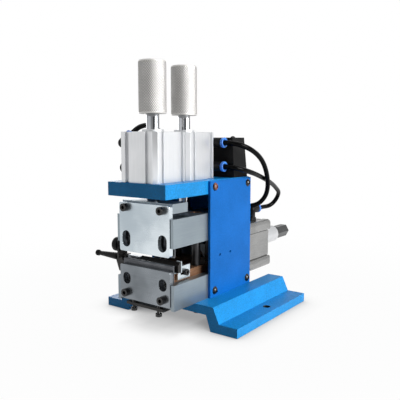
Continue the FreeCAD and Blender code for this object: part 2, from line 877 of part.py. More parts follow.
# Knife arm: hangs from the knife rod by a T-slot and runs on four posts
def make_knife_arm():
    foot = [
        (0.0, size.slot_head_bottom + 0.2),
        (size.slot_head_half_width - 0.4, size.slot_head_bottom + 0.2),
        (size.slot_head_half_width - 0.4, size.slot_head_top - 0.2),
        (size.rod_radius, size.slot_head_top - 0.2),
    ]
    make_plunger("knife", size.knife_axis, foot)
    half = size.arm_half_width
    pocket = size.pocket_half_width
    arm = box("arm", (-half, half), (size.body_front, size.arm_rear), (size.arm_bottom, size.arm_top))
    blade_pocket = box(
        "blade_pocket",
        (-pocket, pocket),
        (size.body_front - 1.0, size.upper_blade_back),
        (size.arm_bottom - 1.0, size.arm_top + 1.0),
    )
    recess = box(
        "clamp_recess",
        (-pocket, pocket),
        (size.body_front - 1.0, size.arm_recess_rear),
        (size.arm_recess_floor, size.arm_top + 1.0),
    )
    neck, head = size.slot_neck_half_width, size.slot_head_half_width
    slot_end = size.arm_rear + 1.0
    slot_neck = box("slot_neck", (-neck, neck), (size.slot_front, slot_end), (size.slot_head_top, size.arm_top + 1.0))
    slot_head = box("slot_head", (-head, head), (size.slot_front, slot_end), (size.slot_head_bottom, size.slot_head_top))
    seats = [
        cylinder(f"bush_seat_{n}", (x, y, size.arm_bottom - 1.0), 34.0, size.bush_radius)
        for n, (x, y) in enumerate(post_places())
    ]
    threads = blade_threads("arm", size.upper_blade_back, size.upper_blade_screw)
    keep(cut("knife_arm", arm, blade_pocket, recess, slot_neck, slot_head, *seats, *threads))
    bore = size.post_radius + size.running_fit
    height = size.arm_top - size.arm_bottom
    bushes = [
        tube(f"bush_{n}", (x, y, size.arm_bottom), height, size.bush_radius, bore)
        for n, (x, y) in enumerate(post_places())
    ]
    keep(group("guide_bushes", bushes))
    make_blade("upper_blade", size.upper_blade_back, size.upper_blade_screw, upper_blade_outline())


def blade_threads(name, back, height):
    return [
        cylinder(f"{name}_thread_{side}", (side * size.plate_screw_place, back - 1.0, height), 8.0, 2.0, Y_AXIS)
        for side in (-1, 1)
    ]


def upper_blade_outline():
    return rectangle(size.plate_half_width, size.upper_blade_bottom, size.upper_blade_top)


def lower_blade_outline():
    return mirrored(
        [
            (size.lower_blade_neck, size.lower_blade_bottom),
            (size.lower_blade_neck, size.lower_blade_step),
            (size.plate_half_width, size.lower_blade_step),
            (size.plate_half_width, size.lower_blade_top),
        ]
    )


def make_blade(name, back, screw_height, outline):
    """A flat knife ground to an edge on its cutting side, with countersunk screws."""
    face = back - size.blade_thickness
    places = [(side * size.plate_screw_place, screw_height) for side in (-1, 1)]
    blade = prism(name, "XZ", outline, face, size.blade_thickness, [(spot, 2.0) for spot in places])
    heights = [number_of(z) for _, z in outline]
    upper = name == "upper_blade"
    cutting = min(heights) if upper else max(heights)
    ground_side = number_of(size.blade_thickness) if upper else 0.0
    soften(blade, "Chamfer", 1.2, lambda edge: is_cutting_edge(edge, cutting, ground_side))
    sinks = [
        cone(f"{name}_sink_{n}", (x, face, z), 1.7, 3.6, 2.0, Y_AXIS) for n, (x, z) in enumerate(places)
    ]
    blade.Label = f"{name}_blank"
    finished = cut(f"{name}_ground", blade, *sinks)
    finished.Label = name
    sub_parts.append(finished)
    keep(screws(f"{name}_screws", screw(*M4_FLAT), [(x, face, z) for x, z in places], -Y_AXIS))


def is_cutting_edge(edge, height, depth):
    """True for the long edge at a height, on the side of the blank that lies at a depth."""
    middle = edge.CenterOfMass
    return runs_along(edge, X_AXIS) and abs(middle.z - height) < 0.01 and abs(middle.y - depth) < 0.01


# Carriage: bronze dovetail slide, posts, lower blade, crosshead and strip rod
def make_carriage():
    gap = size.slide_fit
    section = mirrored(
        [
            (size.dovetail_half_width - gap * 2.0, size.trough_floor + gap),
            (size.trough_half_width - gap, size.dovetail_top - gap),
            (size.trough_half_width - gap, size.block_top + 0.6),
            (size.slide_half_width, size.block_top + 0.6),
            (size.slide_half_width, size.slide_top),
        ]
    )
    slide = prism("dovetail", "XZ", section, size.slide_front, size.slide_rear - size.slide_front)
    post_holes = [
        cylinder(f"post_hole_{n}", (x, y, size.post_bottom), 20.0, size.post_radius)
        for n, (x, y) in enumerate(post_places())
    ]
    blade_holes = blade_threads("slide", size.slide_front, size.lower_blade_screw)
    rear = size.slide_rear
    long_holes = [
        cylinder(f"slide_thread_{side}", (side * CROSSHEAD_SCREW_X, rear - 8.0, CROSSHEAD_SCREW_Z), 9.0, 2.0, Y_AXIS)
        for side in (-1, 1)
    ]
    rod_relief = cylinder(
        "rod_relief", (0.0, rear - 6.0, size.strip_axis_height), 7.0, size.strip_rod_radius + 1.0, Y_AXIS
    )
    top_holes = [
        cylinder(f"carrier_thread_{side}", (side * CARRIER_SCREW_X, CARRIER_SCREW_Y, 56.0), 10.0, 2.0)
        for side in (-1, 1)
    ]
    tools = post_holes + blade_holes + long_holes + [rod_relief] + top_holes
    keep(cut("bronze_slide", slide, *tools))
    height = size.post_top - size.post_bottom
    posts = [
        cylinder(f"post_{n}", (x, y, size.post_bottom), height, size.post_radius)
        for n, (x, y) in enumerate(post_places())
    ]
    keep(group("guide_posts", posts))
    make_blade("lower_blade", size.slide_front, size.lower_blade_screw, lower_blade_outline())
    half = size.crosshead_half_width
    head = box(
        "crosshead_blank", (-half, half), (rear, rear + size.crosshead_length), (size.crosshead_bottom, size.crosshead_top)
    )
    socket = cylinder("rod_socket", (0.0, rear - 1.0, size.strip_axis_height), 14.0, size.strip_rod_radius - 2.0, Y_AXIS)
    bores = []
    for side in (-1, 1):
        seat = rear + size.crosshead_length - 4.2
        spot = (side * CROSSHEAD_SCREW_X, rear - 1.0, CROSSHEAD_SCREW_Z)
        bores.append(cylinder(f"head_bore_{side}", spot, 14.0, 2.0, Y_AXIS))
        wide = (side * CROSSHEAD_SCREW_X, seat, CROSSHEAD_SCREW_Z)
        bores.append(cylinder(f"head_sink_{side}", wide, 5.0, 3.6, Y_AXIS))
    keep(cut("crosshead", head, socket, *bores))
    seats = [(side * CROSSHEAD_SCREW_X, rear + size.crosshead_length - 4.2, CROSSHEAD_SCREW_Z) for side in (-1, 1)]
    share("carriage_screws", screws("crosshead_screws", screw(*M4_CAP), seats, Y_AXIS))


CROSSHEAD_SCREW_X = 22.0
CROSSHEAD_SCREW_Z = 52.0
CARRIER_SCREW_X = 10.0
CARRIER_SCREW_Y = -80.0
CARRIER_TOP = 66.4
STOP_TRAVEL = 18.0
STOP_FRONT = -110.0
STOP_REAR = -105.0
KNOB_Y = -112.0
KNOB_Z = 88.0
HANDLE_ROOT = (-52.0, -109.0, 72.7)
HANDLE_RADIUS = 4.0


# Wire stop: slides on the bronze block and sets how much wire goes in
def make_wire_stop():
    low = size.slide_top + 0.1
    left, right, tongue = -36.0, 31.6, 17.0
    carrier = fuse(
        "carrier_plate",
        box("carrier_front", (left, right), (STOP_FRONT, -96.0), (low, CARRIER_TOP)),
        box("carrier_tongue", (-tongue, tongue), (-96.0, -74.0), (low, CARRIER_TOP)),
    )
    slots = []
    for side in (-1, 1):
        x = side * CARRIER_SCREW_X
        reach = (CARRIER_SCREW_Y - STOP_TRAVEL - 2.7, CARRIER_SCREW_Y + 2.7)
        slots.append(box(f"carrier_slot_{side}", (x - 2.2, x + 2.2), reach, (60.0, 70.0)))
    keep(cut("stop_carrier", carrier, *slots))
    seats = [(side * CARRIER_SCREW_X, CARRIER_SCREW_Y, CARRIER_TOP + 0.1) for side in (-1, 1)]
    share("carriage_screws", screws("carrier_screws", screw("cap", 2.0, 9.0, 3.5, 2.4, 1.4), seats, Z_AXIS))

    step = 3.6
    bar_section = [
        (STOP_FRONT, CARRIER_TOP),
        (STOP_REAR, CARRIER_TOP),
        (STOP_REAR, 77.7),
        (STOP_FRONT + step, 77.7),
        (STOP_FRONT, 77.7 - step),
    ]
    keep(prism("stop_bar", "YZ", bar_section, -17.0, 55.0))
    keep(box("gauge_block", (left, -17.0), (STOP_FRONT, STOP_REAR), (CARRIER_TOP, 77.0)))

    foot, shoulder = 57.0, 77.5
    outline = [(left, foot), (left, shoulder), (-52.0, shoulder), (-55.0, 75.0), (-48.0, foot)]
    front = prism("bracket_face", "XZ", outline, -111.5, 7.5, [((-40.5, 72.0), 2.4)])
    tab = box("bracket_tab", (-44.0, -42.0), (-118.0, -104.0), (shoulder - 4.0, 94.0))
    pin_bore = cylinder("tab_bore", (-45.0, KNOB_Y, KNOB_Z), 4.0, 2.5, X_AXIS)
    handle_seat = cylinder("handle_seat", HANDLE_ROOT, 6.0, HANDLE_RADIUS, -X_AXIS)
    keep(cut("left_bracket", fuse("bracket_blank", front, tab), pin_bore, handle_seat))

    thin = 2.0
    side_plate = box("guide_side", (right, right + thin), (-105.0, -84.0), (57.0, 71.5))
    flange = box("guide_flange", (right, 38.0), (STOP_REAR, STOP_REAR + 1.6), (66.0, 78.5))
    slot = box("guide_slot", (right - 1.0, right + thin + 1.0), (-100.0, -88.0), (62.0, 66.2))
    keep(cut("right_guide", fuse("guide_blank", side_plate, flange), slot))
    guide_seat = [(right + thin, -93.0, 64.1)]
    keep(screws("guide_screw", screw("cap", 2.0, 3.4, 3.5, 4.0, 1.7), guide_seat, X_AXIS))

    tip, neck, root = 36.0, 2.5, HANDLE_RADIUS
    grip = [
        (0.0, 0.0),
        (root, 0.0),
        (root, 4.0),
        (neck, tip - 6.0),
        (3.5, tip - 4.5),
        (3.5, tip - 1.5),
        (2.0, tip),
        (0.0, tip),
    ]
    keep(turned("stop_handle", grip, *HANDLE_ROOT, FreeCAD.Rotation(Z_AXIS, -X_AXIS)))
    wide, pin = 8.0, 2.45
    dial = [(0.0, -2.0), (pin, -2.0), (pin, 0.1), (wide, 0.1), (wide, 7.0), (wide - 1.5, 8.0), (0.0, 8.0)]
    keep(turned("stop_lock_knob", dial, -44.0, KNOB_Y, KNOB_Z, FreeCAD.Rotation(Z_AXIS, -X_AXIS)))


# Strip cylinder at the rear: pulls the carriage back and strips the wire
def make_strip_cylinder():
    axis = size.strip_axis_height
    start, end = size.body_rear, size.strip_rear
    blank = make_barrel("strip_blank", size.strip_half_width, size.strip_bore, size.strip_bolt_place, end - start)
    place(blank, 0.0, start, axis, FreeCAD.Rotation(X_AXIS, -90.0))
    keep(cut("strip_barrel", blank, *port_seats("strip")))
    seats = [
        (side * size.strip_bolt_place, end - 5.6, axis + level * size.strip_bolt_place)
        for side in (-1, 1)
        for level in (-1, 1)
    ]
    share("cylinder_bolts", screws("strip_bolts", screw("cap", 2.5, 74.0, 4.4, 5.0, 2.3), seats, Y_AXIS))
    bore = size.strip_rod_radius + size.running_fit
    front = size.strip_gland_front
    gland = tube("strip_gland", (0.0, front, axis), size.strip_gland_length, size.strip_bore, bore, Y_AXIS)
    share("rod_glands", gland)
    cap_length = size.strip_rear - 2.0 - size.strip_cap_front
    cap_start = (0.0, size.strip_cap_front, axis)
    keep(tube("strip_rear_cap", cap_start, cap_length, size.strip_bore, size.stop_shank_radius + 3.0, Y_AXIS))
    rings = [
        snap_ring("strip_ring_front", (0.0, front - 1.4, axis), size.strip_bore, Y_AXIS),
        snap_ring("strip_ring_rear", (0.0, size.strip_rear - 2.0, axis), size.strip_bore, Y_AXIS),
    ]
    share("snap_rings", *rings)

    lying = FreeCAD.Rotation(X_AXIS, -90.0)
    rod_front = size.slide_rear
    piston_at = size.strip_piston_front - rod_front
    shaft = size.strip_rod_radius
    socket = shaft - 2.0
    shoulder = size.crosshead_length
    tail = piston_at + size.strip_piston_length
    rod = [(0.0, 0.0), (socket, 0.0), (socket, shoulder), (shaft, shoulder), (shaft, tail), (0.0, tail)]
    keep(turned("strip_rod", rod, 0.0, rod_front, axis, lying))
    outer, groove = size.strip_bore - 0.4, size.strip_bore - 3.0
    near, far = 4.0, 8.0
    piston = [
        (shaft, 0.0),
        (outer, 0.0),
        (outer, near),
        (groove, near),
        (groove, far),
        (outer, far),
        (outer, size.strip_piston_length),
        (shaft, size.strip_piston_length),
    ]
    lip = size.strip_bore - size.running_fit
    seal = [(groove, near), (lip, near), (lip, far), (groove, far)]
    discs = [("strip_piston_disc", piston), ("strip_piston_seal", seal)]
    keep(group("strip_piston", [turned(n, shape, 0.0, size.strip_piston_front, axis, lying) for n, shape in discs]))

    hub = size.sleeve_radius
    bore = size.stop_shank_radius + size.running_fit
    screwed_in = size.stop_shank_radius + 3.0
    first = size.strip_cap_front
    total = size.sleeve_rear - first
    flange_start, flange_end = size.strip_rear - first, size.strip_rear - first + 5.0
    sleeve = [
        (bore, 0.0),
        (screwed_in, 0.0),
        (screwed_in, flange_start),
        (hub + 4.0, flange_start),
        (hub + 4.0, flange_end),
        (hub, flange_end),
        (hub, total - 1.5),
        (hub - 1.5, total),
        (bore, total),
    ]
    keep(turned("stop_sleeve", sleeve, 0.0, first, axis, lying))
    nut = hexagon("nut_blank", (0.0, size.sleeve_rear, axis), size.nut_length, 19.0, Y_AXIS)
    nut_bore = cylinder("nut_bore", (0.0, size.sleeve_rear - 1.0, axis), size.nut_length + 2.0, bore, Y_AXIS)
    keep(cut("stop_lock_nut", nut, nut_bore))
    nut_end = size.sleeve_rear + size.nut_length
    shank_length = nut_end + 1.0 - size.stop_shank_front
    shank = cylinder("stop_shank", (0.0, size.stop_shank_front, axis), shank_length, size.stop_shank_radius, Y_AXIS)
    head_length = size.hex_rear - nut_end - 0.3
    head = hexagon("stop_head", (0.0, nut_end + 0.3, axis), head_length, size.hex_across_flats, Y_AXIS)
    keep(fuse("stroke_bolt", shank, head))


# Push-in elbows: a stem with a hexagon, an arm, and the collet that grips the hose
def elbow(name, port, stem_way, stem_length, arm_way, arm_length, sunk=PORT_DEPTH, hexagon_sunk=PANEL_DEPTH):
    """Returns the elbow's body, its collet and the seat of the hose inside the collet."""
    stem_way, arm_way = Vector(*stem_way).normalize(), Vector(*arm_way).normalize()
    port = Vector(*(number_of(value) for value in port))
    knee = port + stem_way * stem_length
    arm_bore_start = arm_length - number_of(size.collet_length)
    seat = knee + arm_way * arm_bore_start
    radius = size.elbow_radius
    ball = doc.addObject("Part::Sphere", f"{name}_ball")
    bind(ball, "Radius", radius)
    place(ball, *knee)
    body = fuse(
        f"{name}_body",
        cylinder(f"{name}_stem", tuple(port - stem_way * sunk), stem_length + sunk, radius - 0.8, stem_way),
        hexagon(f"{name}_hexagon", tuple(port - stem_way * hexagon_sunk), 4.0, 12.0, stem_way),
        ball,
        cylinder(f"{name}_arm", tuple(knee), arm_bore_start, radius, arm_way),
    )
    bore = size.hose_radius + size.running_fit
    collet = tube(f"{name}_collet", tuple(seat), size.collet_length, size.collet_radius, bore, arm_way)
    return body, collet, seat


INLET_Z = 186.0
VALVE_HALF_LENGTH = 32.0
VALVE_REAR = 18.0
VALVE_PORTS = ((-38.1, 10.0, 193.0), (-39.6, 10.0, 174.0))


def make_fittings():
    """Elbows in pairs, and the straight air inlet."""
    knife_high, knife_low = cylinder_ports("knife")
    clamp_high, clamp_low = cylinder_ports("clamp")
    strip_front, strip_rear = cylinder_ports("strip")
    valve_high, valve_low = VALVE_PORTS
    valve_face = -VALVE_HALF_LENGTH
    pairs = {
        "knife": [
            elbow("knife_elbow_high", *knife_high, 7.0, X_AXIS, 21.0),
            elbow("knife_elbow_low", *knife_low, 7.0, X_AXIS, 21.0),
        ],
        "clamp": [
            elbow("clamp_elbow_high", *clamp_high, 19.0, (0, 0.8, 0.6), 16.0),
            elbow("clamp_elbow_low", *clamp_low, 19.0, Y_AXIS, 16.0),
        ],
        "strip": [
            elbow("strip_elbow_front", *strip_front, 23.5, (0.866, 0.5, 0), 17.0),
            elbow("strip_elbow_rear", *strip_rear, 14.5, Y_AXIS, 16.0),
        ],
        "valve": [
            elbow("valve_elbow_high", valve_high, -X_AXIS, 10.1, -Y_AXIS, 16.0, valve_face - valve_high[0], 0.0),
            elbow("valve_elbow_low", valve_low, -X_AXIS, 10.0, -Y_AXIS, 16.0, valve_face - valve_low[0], 0.0),
        ],
    }
    for pair in pairs.values():
        for body, collet, seat in pair:
            share("hose_elbows", body)
            share("hose_collets", collet)
            print(body.Name, "hose seat", [round(value, 2) for value in seat])
    inlet_face = VALVE_REAR
    inlet = fuse(
        "inlet_blank",
        hexagon("inlet_hexagon", (0.0, inlet_face, INLET_Z), 6.0, 14.0, Y_AXIS),
        cylinder("inlet_neck", (0.0, inlet_face, INLET_Z), 16.0, 6.6, Y_AXIS),
    )
    bore = cylinder("inlet_bore", (0.0, inlet_face + 4.0, INLET_Z), 14.0, 4.05, Y_AXIS)
    keep(cut("air_inlet", inlet, bore))
    share("hose_collets", tube("inlet_collet", (0.0, inlet_face + 16.0, INLET_Z), 3.0, 7.0, 4.05, Y_AXIS))


# Valve cover, drawn in towards its top, and the valve under it
def tapered_box(name, inset, low, high):
    """A box from one height to another that draws in by the valve's draft."""
    half = size.valve_half_width - inset
    front = size.valve_front + inset
    rear = size.valve_rear - inset
    draft = size.valve_draft
    solid = doc.addObject("Part::Wedge", name)
    spans = {
        "Xmin": -half,
        "Xmax": half,
        "X2min": draft - half,
        "X2max": half - draft,
        "Ymin": low,
        "Ymax": high,
        "Zmin": -rear,
        "Zmax": -front,
        "Z2min": draft / 2.0 - rear,
        "Z2max": -front - draft / 2.0,
    }
    for prop, value in spans.items():
        bind(solid, prop, value)
    solid.Placement = FreeCAD.Placement(Vector(), FreeCAD.Rotation(X_AXIS, 90.0))
    return solid


def make_valve():
    foot, top, wall = size.roof_top, size.valve_top, size.valve_wall
    outside = tapered_box("cover_outside", 0.0, foot, top)
    inside = tapered_box("cover_inside", wall, foot - 0.1, top - wall)
    inlet_hole = cylinder("cover_inlet_hole", (0.0, VALVE_REAR, INLET_Z), 9.0, 8.6, Y_AXIS)
    port_holes = [cylinder(f"cover_port_hole_{n}", port, 7.0, 5.2, X_AXIS) for n, port in enumerate(VALVE_PORTS)]
    screw_holes = [cylinder(f"cover_screw_hole_{side}", (side * 28.0, 9.0, 204.0), 10.0, 1.7) for side in (-1, 1)]
    keep(cut("valve_cover", outside, inside, inlet_hole, *port_holes, *screw_holes))
    body = box("valve_blank", (-VALVE_HALF_LENGTH, VALVE_HALF_LENGTH), (0.0, VALVE_REAR), (foot, 200.0))
    keep(cut("control_valve", body, cylinder("spool_bore", (-33.0, 9.0, 184.0), 66.0, 5.0, X_AXIS)))
    seats = [(side * 28.0, 9.0, top) for side in (-1, 1)]
    share("button_screws", screws("valve_cover_screws", screw("button", 1.6, 5.0, 3.2, 2.0, 1.2), seats, Z_AXIS))


# Hoses: straight runs joined by arcs, as large as their runs allow
def hose(name, points):
    radius = SIZES["hose_radius"]
    path = [Vector(*point) for point in points]
    edges, bends = [], []
    start = path[0]
    for before, corner, after in zip(path, path[1:], path[2:]):
        come, go = (corner - before), (after - corner)
        reach = 0.45 * min(come.Length, go.Length)
        turn = come.getAngle(go)
        bend = reach / math.tan(turn / 2.0)
        bends.append(round(bend, 1))
        come.normalize()
        go.normalize()
        enter, leave = corner - come * reach, corner + go * reach
        inward = (go - come).normalize()
        middle = corner + inward * (bend / math.cos(turn / 2.0) - bend)
        edges.append(Part.LineSegment(start, enter).toShape())
        edges.append(Part.Arc(enter, middle, leave).toShape())
        start = leave
    edges.append(Part.LineSegment(start, path[-1]).toShape())
    spine = Part.Wire(edges)
    ring = Part.Wire(Part.Circle(path[0], path[1] - path[0], radius).toShape())
    pipe = spine.makePipeShell([ring], True, True)
    wanted = math.pi * radius**2 * spine.Length
    print(name, "length", round(spine.Length, 1), "volume ratio", round(pipe.Volume / wanted, 4), "radii", bends)
    feature = doc.addObject("Part::Feature", name)
    feature.Shape = pipe
    return keep(feature)


KNIFE_TOP_ROUTE = [
    (31.4, -18.0, 203.0),
    (44.0, -18.0, 203.0),
    (55.0, -9.0, 199.5),
    (58.5, 8.0, 193.0),
    (58.5, 26.0, 183.5),
    (56.0, 41.0, 171.5),
    (52.5, 53.0, 158.0),
    (49.0, 60.5, 145.0),
    (44.5, 61.5, 132.0),
    (35.4, 54.22, 121.0),
    (24.1, 47.7, 121.0),
]
KNIFE_BOTTOM_ROUTE = [
    (31.4, -18.0, 175.0),
    (43.0, -18.0, 175.0),
    (52.0, -8.0, 172.0),
    (53.0, 12.0, 167.5),
    (50.0, 34.0, 162.5),
    (46.0, 56.0, 157.0),
    (41.0, 78.0, 151.5),
    (36.5, 97.0, 146.0),
    (32.0, 114.0, 140.0),
    (28.0, 130.0, 133.2),
    (24.5, 134.6, 127.6),
    (21.0, 135.0, 121.0),
    (17.5, 131.8, 115.4),
    (14.5, 125.5, 112.0),
    (12.5, 111.0, 112.0),
    (12.5, 94.4, 112.0),
]
CLAMP_TOP_ROUTE = [
    (-45.0, -95.08, 210.44),
    (-45.0, -84.0, 218.75),
    (-45.5, -70.0, 223.5),
    (-46.5, -54.0, 223.5),
    (-47.5, -40.0, 217.5),
    (-48.0, -28.0, 207.5),
    (-48.2, -19.5, 198.5),
    (-48.2, -12.0, 193.0),
    (-48.2, -2.4, 193.0),
]
CLAMP_BOTTOM_ROUTE = [
    (-45.0, -92.6, 175.0),
    (-45.0, -80.0, 175.0),
    (-46.0, -60.0, 176.5),
    (-47.5, -40.0, 177.0),
    (-49.0, -24.0, 175.0),
    (-49.6, -13.0, 174.0),
    (-49.6, -2.4, 174.0),
]


def make_hoses():
    hose("hose_knife_top", KNIFE_TOP_ROUTE)
    hose("hose_knife_bottom", KNIFE_BOTTOM_ROUTE)
    hose("hose_clamp_top", CLAMP_TOP_ROUTE)
    hose("hose_clamp_bottom", CLAMP_BOTTOM_ROUTE)


def check_and_export():
    """Stops on a failed feature or a bad shape, then writes one file for each sub-part."""
    doc.recompute()
    failed = [thing.Name for thing in doc.Objects if {"Invalid", "Error"} & set(thing.State)]
    if failed:
        raise RuntimeError(f"failed features: {failed}")
    for part in sub_parts:
        if part.Shape.isNull() or not part.Shape.isValid():
            raise RuntimeError(f"bad shape: {part.Label}")
        if part.Shape.Volume <= 0.0:
            raise RuntimeError(f"no volume: {part.Label}")
    for part in sub_parts:
        part.Shape.exportStep(f"parts/{part.Label}.step")
    print(len(sub_parts), "sub-parts written")


make_base_plate()
make_lower_block()
make_rear_wall()
make_top_plate()
make_covers()
make_lower_clamp()
make_press_cylinder("clamp", size.clamp_axis)
make_press_cylinder("knife", size.knife_axis)
make_clamp()
make_knife_arm()
make_carriage()
make_wire_stop()
make_strip_cylinder()
make_valve()
make_fittings()
make_hoses()
keep_shared()
check_and_export()
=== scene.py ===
import json
import math

import bmesh
import bpy
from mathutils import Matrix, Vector


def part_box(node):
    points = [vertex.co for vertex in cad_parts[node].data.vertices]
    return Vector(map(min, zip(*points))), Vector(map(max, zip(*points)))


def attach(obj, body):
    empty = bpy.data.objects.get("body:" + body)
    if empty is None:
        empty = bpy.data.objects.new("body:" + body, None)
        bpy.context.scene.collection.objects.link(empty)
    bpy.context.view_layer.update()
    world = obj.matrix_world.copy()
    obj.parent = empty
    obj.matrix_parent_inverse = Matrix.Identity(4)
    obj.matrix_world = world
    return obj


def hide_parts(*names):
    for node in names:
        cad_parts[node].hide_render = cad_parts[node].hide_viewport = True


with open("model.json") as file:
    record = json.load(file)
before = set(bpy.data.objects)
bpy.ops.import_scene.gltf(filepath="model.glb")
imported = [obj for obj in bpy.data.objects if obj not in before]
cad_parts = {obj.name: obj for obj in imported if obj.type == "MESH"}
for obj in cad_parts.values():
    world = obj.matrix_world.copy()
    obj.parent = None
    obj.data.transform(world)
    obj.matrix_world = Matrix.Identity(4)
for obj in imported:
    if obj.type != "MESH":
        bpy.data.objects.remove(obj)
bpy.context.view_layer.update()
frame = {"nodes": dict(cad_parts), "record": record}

bl_info = {
    "name": "Wire stripper looks",
    "version": (1, 0, 0),
    "blender": (4, 5, 0),
    "location": "View3D > Sidebar > Wire stripper",
    "description": "Dresses the packed wire stripping machine: finishes, knurled knobs, collars and hoses",
    "category": "Object",
}

MM = 0.001
HOSE_DIAMETER = 6 * MM
# Edges that turn by more than this are broken, or shaded as sharp
SHARP_ANGLE = math.radians(35.0)
# Before an edge is broken, points closer than this are joined, and faces flatter than this are merged
WELD_REACH = 0.00001
FLAT_ANGLE = math.radians(0.5)

# Painted shade: the dark tint stands in for the shade deep inside the bench plate's holes
# The bench plate's two holes are tinted dark: how far each is from the middle, and its radius
BENCH_HOLE_PLACE = 83.4 * MM
BENCH_HOLE_RADIUS = 4.3 * MM
# The upper front screw of the right cover is tinted brown: its place, and how far the tint reaches
BROWNED_SCREW = (46.0 * MM, -49.9 * MM, 155.0 * MM)
BROWNED_REACH = 4.2 * MM

# Hose routes in metres, from one elbow's collar to the other elbow's collar
KNIFE_TOP_ROUTE = [
    (0.0314, -0.018, 0.203),
    (0.044, -0.018, 0.203),
    (0.055, -0.009, 0.1995),
    (0.0585, 0.008, 0.193),
    (0.0585, 0.026, 0.1835),
    (0.056, 0.041, 0.1715),
    (0.0525, 0.053, 0.158),
    (0.049, 0.0605, 0.145),
    (0.0445, 0.0615, 0.132),
    (0.0354, 0.05422, 0.121),
    (0.0241, 0.0477, 0.121),
]
KNIFE_BOTTOM_ROUTE = [
    (0.0314, -0.018, 0.175),
    (0.043, -0.018, 0.175),
    (0.052, -0.008, 0.172),
    (0.053, 0.012, 0.1675),
    (0.05, 0.034, 0.1625),
    (0.046, 0.056, 0.157),
    (0.041, 0.078, 0.1515),
    (0.0365, 0.097, 0.146),
    (0.032, 0.114, 0.14),
    (0.028, 0.13, 0.1332),
    (0.0245, 0.1346, 0.1276),
    (0.021, 0.135, 0.121),
    (0.0175, 0.1318, 0.1154),
    (0.0145, 0.1255, 0.112),
    (0.0125, 0.111, 0.112),
    (0.0125, 0.0944, 0.112),
]
CLAMP_TOP_ROUTE = [
    (-0.045, -0.09508, 0.21044),
    (-0.045, -0.084, 0.21875),
    (-0.0455, -0.07, 0.2235),
    (-0.0465, -0.054, 0.2235),
    (-0.0475, -0.04, 0.2175),
    (-0.048, -0.028, 0.2075),
    (-0.0482, -0.0195, 0.1985),
    (-0.0482, -0.012, 0.193),
    (-0.0482, -0.0024, 0.193),
]
CLAMP_BOTTOM_ROUTE = [
    (-0.045, -0.0926, 0.175),
    (-0.045, -0.08, 0.175),
    (-0.046, -0.06, 0.1765),
    (-0.0475, -0.04, 0.177),
    (-0.049, -0.024, 0.175),
    (-0.0496, -0.013, 0.174),
    (-0.0496, -0.0024, 0.174),
]
# Route of each hose, and its length in metres
HOSES = {
    "hose_knife_top": (KNIFE_TOP_ROUTE, 0.1597),
    "hose_knife_bottom": (KNIFE_BOTTOM_ROUTE, 0.2315),
    "hose_clamp_top": (CLAMP_TOP_ROUTE, 0.1060),
    "hose_clamp_bottom": (CLAMP_BOTTOM_ROUTE, 0.0905),
}

# Pieces that get the paint and the full edge break, and pieces that scene.py builds anew
PAINTED = ("base_plate", "top_plate", "right_cover", "left_cover", "rear_wall")
REBUILT = ("clamp_knob", "knife_knob", "hose_collets", "strip_barrel", *HOSES)
# Large blocks take a wider break, small pieces keep the CAD's edges, and all others take a narrower one
BROAD = {"upper_clamp_plate", "lower_clamp_plate", "clamp_block", "lower_block", "knife_arm"}
FINE = {"button_screws", "frame_screws", "cylinder_bolts", "carriage_screws", "snap_rings", "rod_glands"}
BROAD_SHARE = 1.4
NARROW_SHARE = 0.8


def srgb(red, green, blue):
    """A colour written as it looks on screen, 0 to 255, as linear values."""
    channels = []
    for value in (red, green, blue):
        part = value / 255.0
        channels.append(part / 12.92 if part <= 0.04045 else ((part + 0.055) / 1.055) ** 2.4)
    return (*channels, 1.0)


# Colour of the painted shade in the knurl's grooves
KNURL_PAINTED_SHADE = srgb(62, 63, 66)
# Colour of the painted shade inside the bench plate's holes
HOLE_PAINTED_SHADE = srgb(10, 10, 12)
BROWNED_SHADE = srgb(122, 72, 56)
# The covers' satin colour is the enamel darkened: painted shade
# Light and dark parts of the enamel as shares of its colour, and of the covers' satin by red, green and blue
ENAMEL_LIGHT = 1.25
ENAMEL_DARK = 0.72
SATIN_LIGHT = (0.7, 0.56, 0.82)
SATIN_DARK = (0.5, 0.42, 0.6)


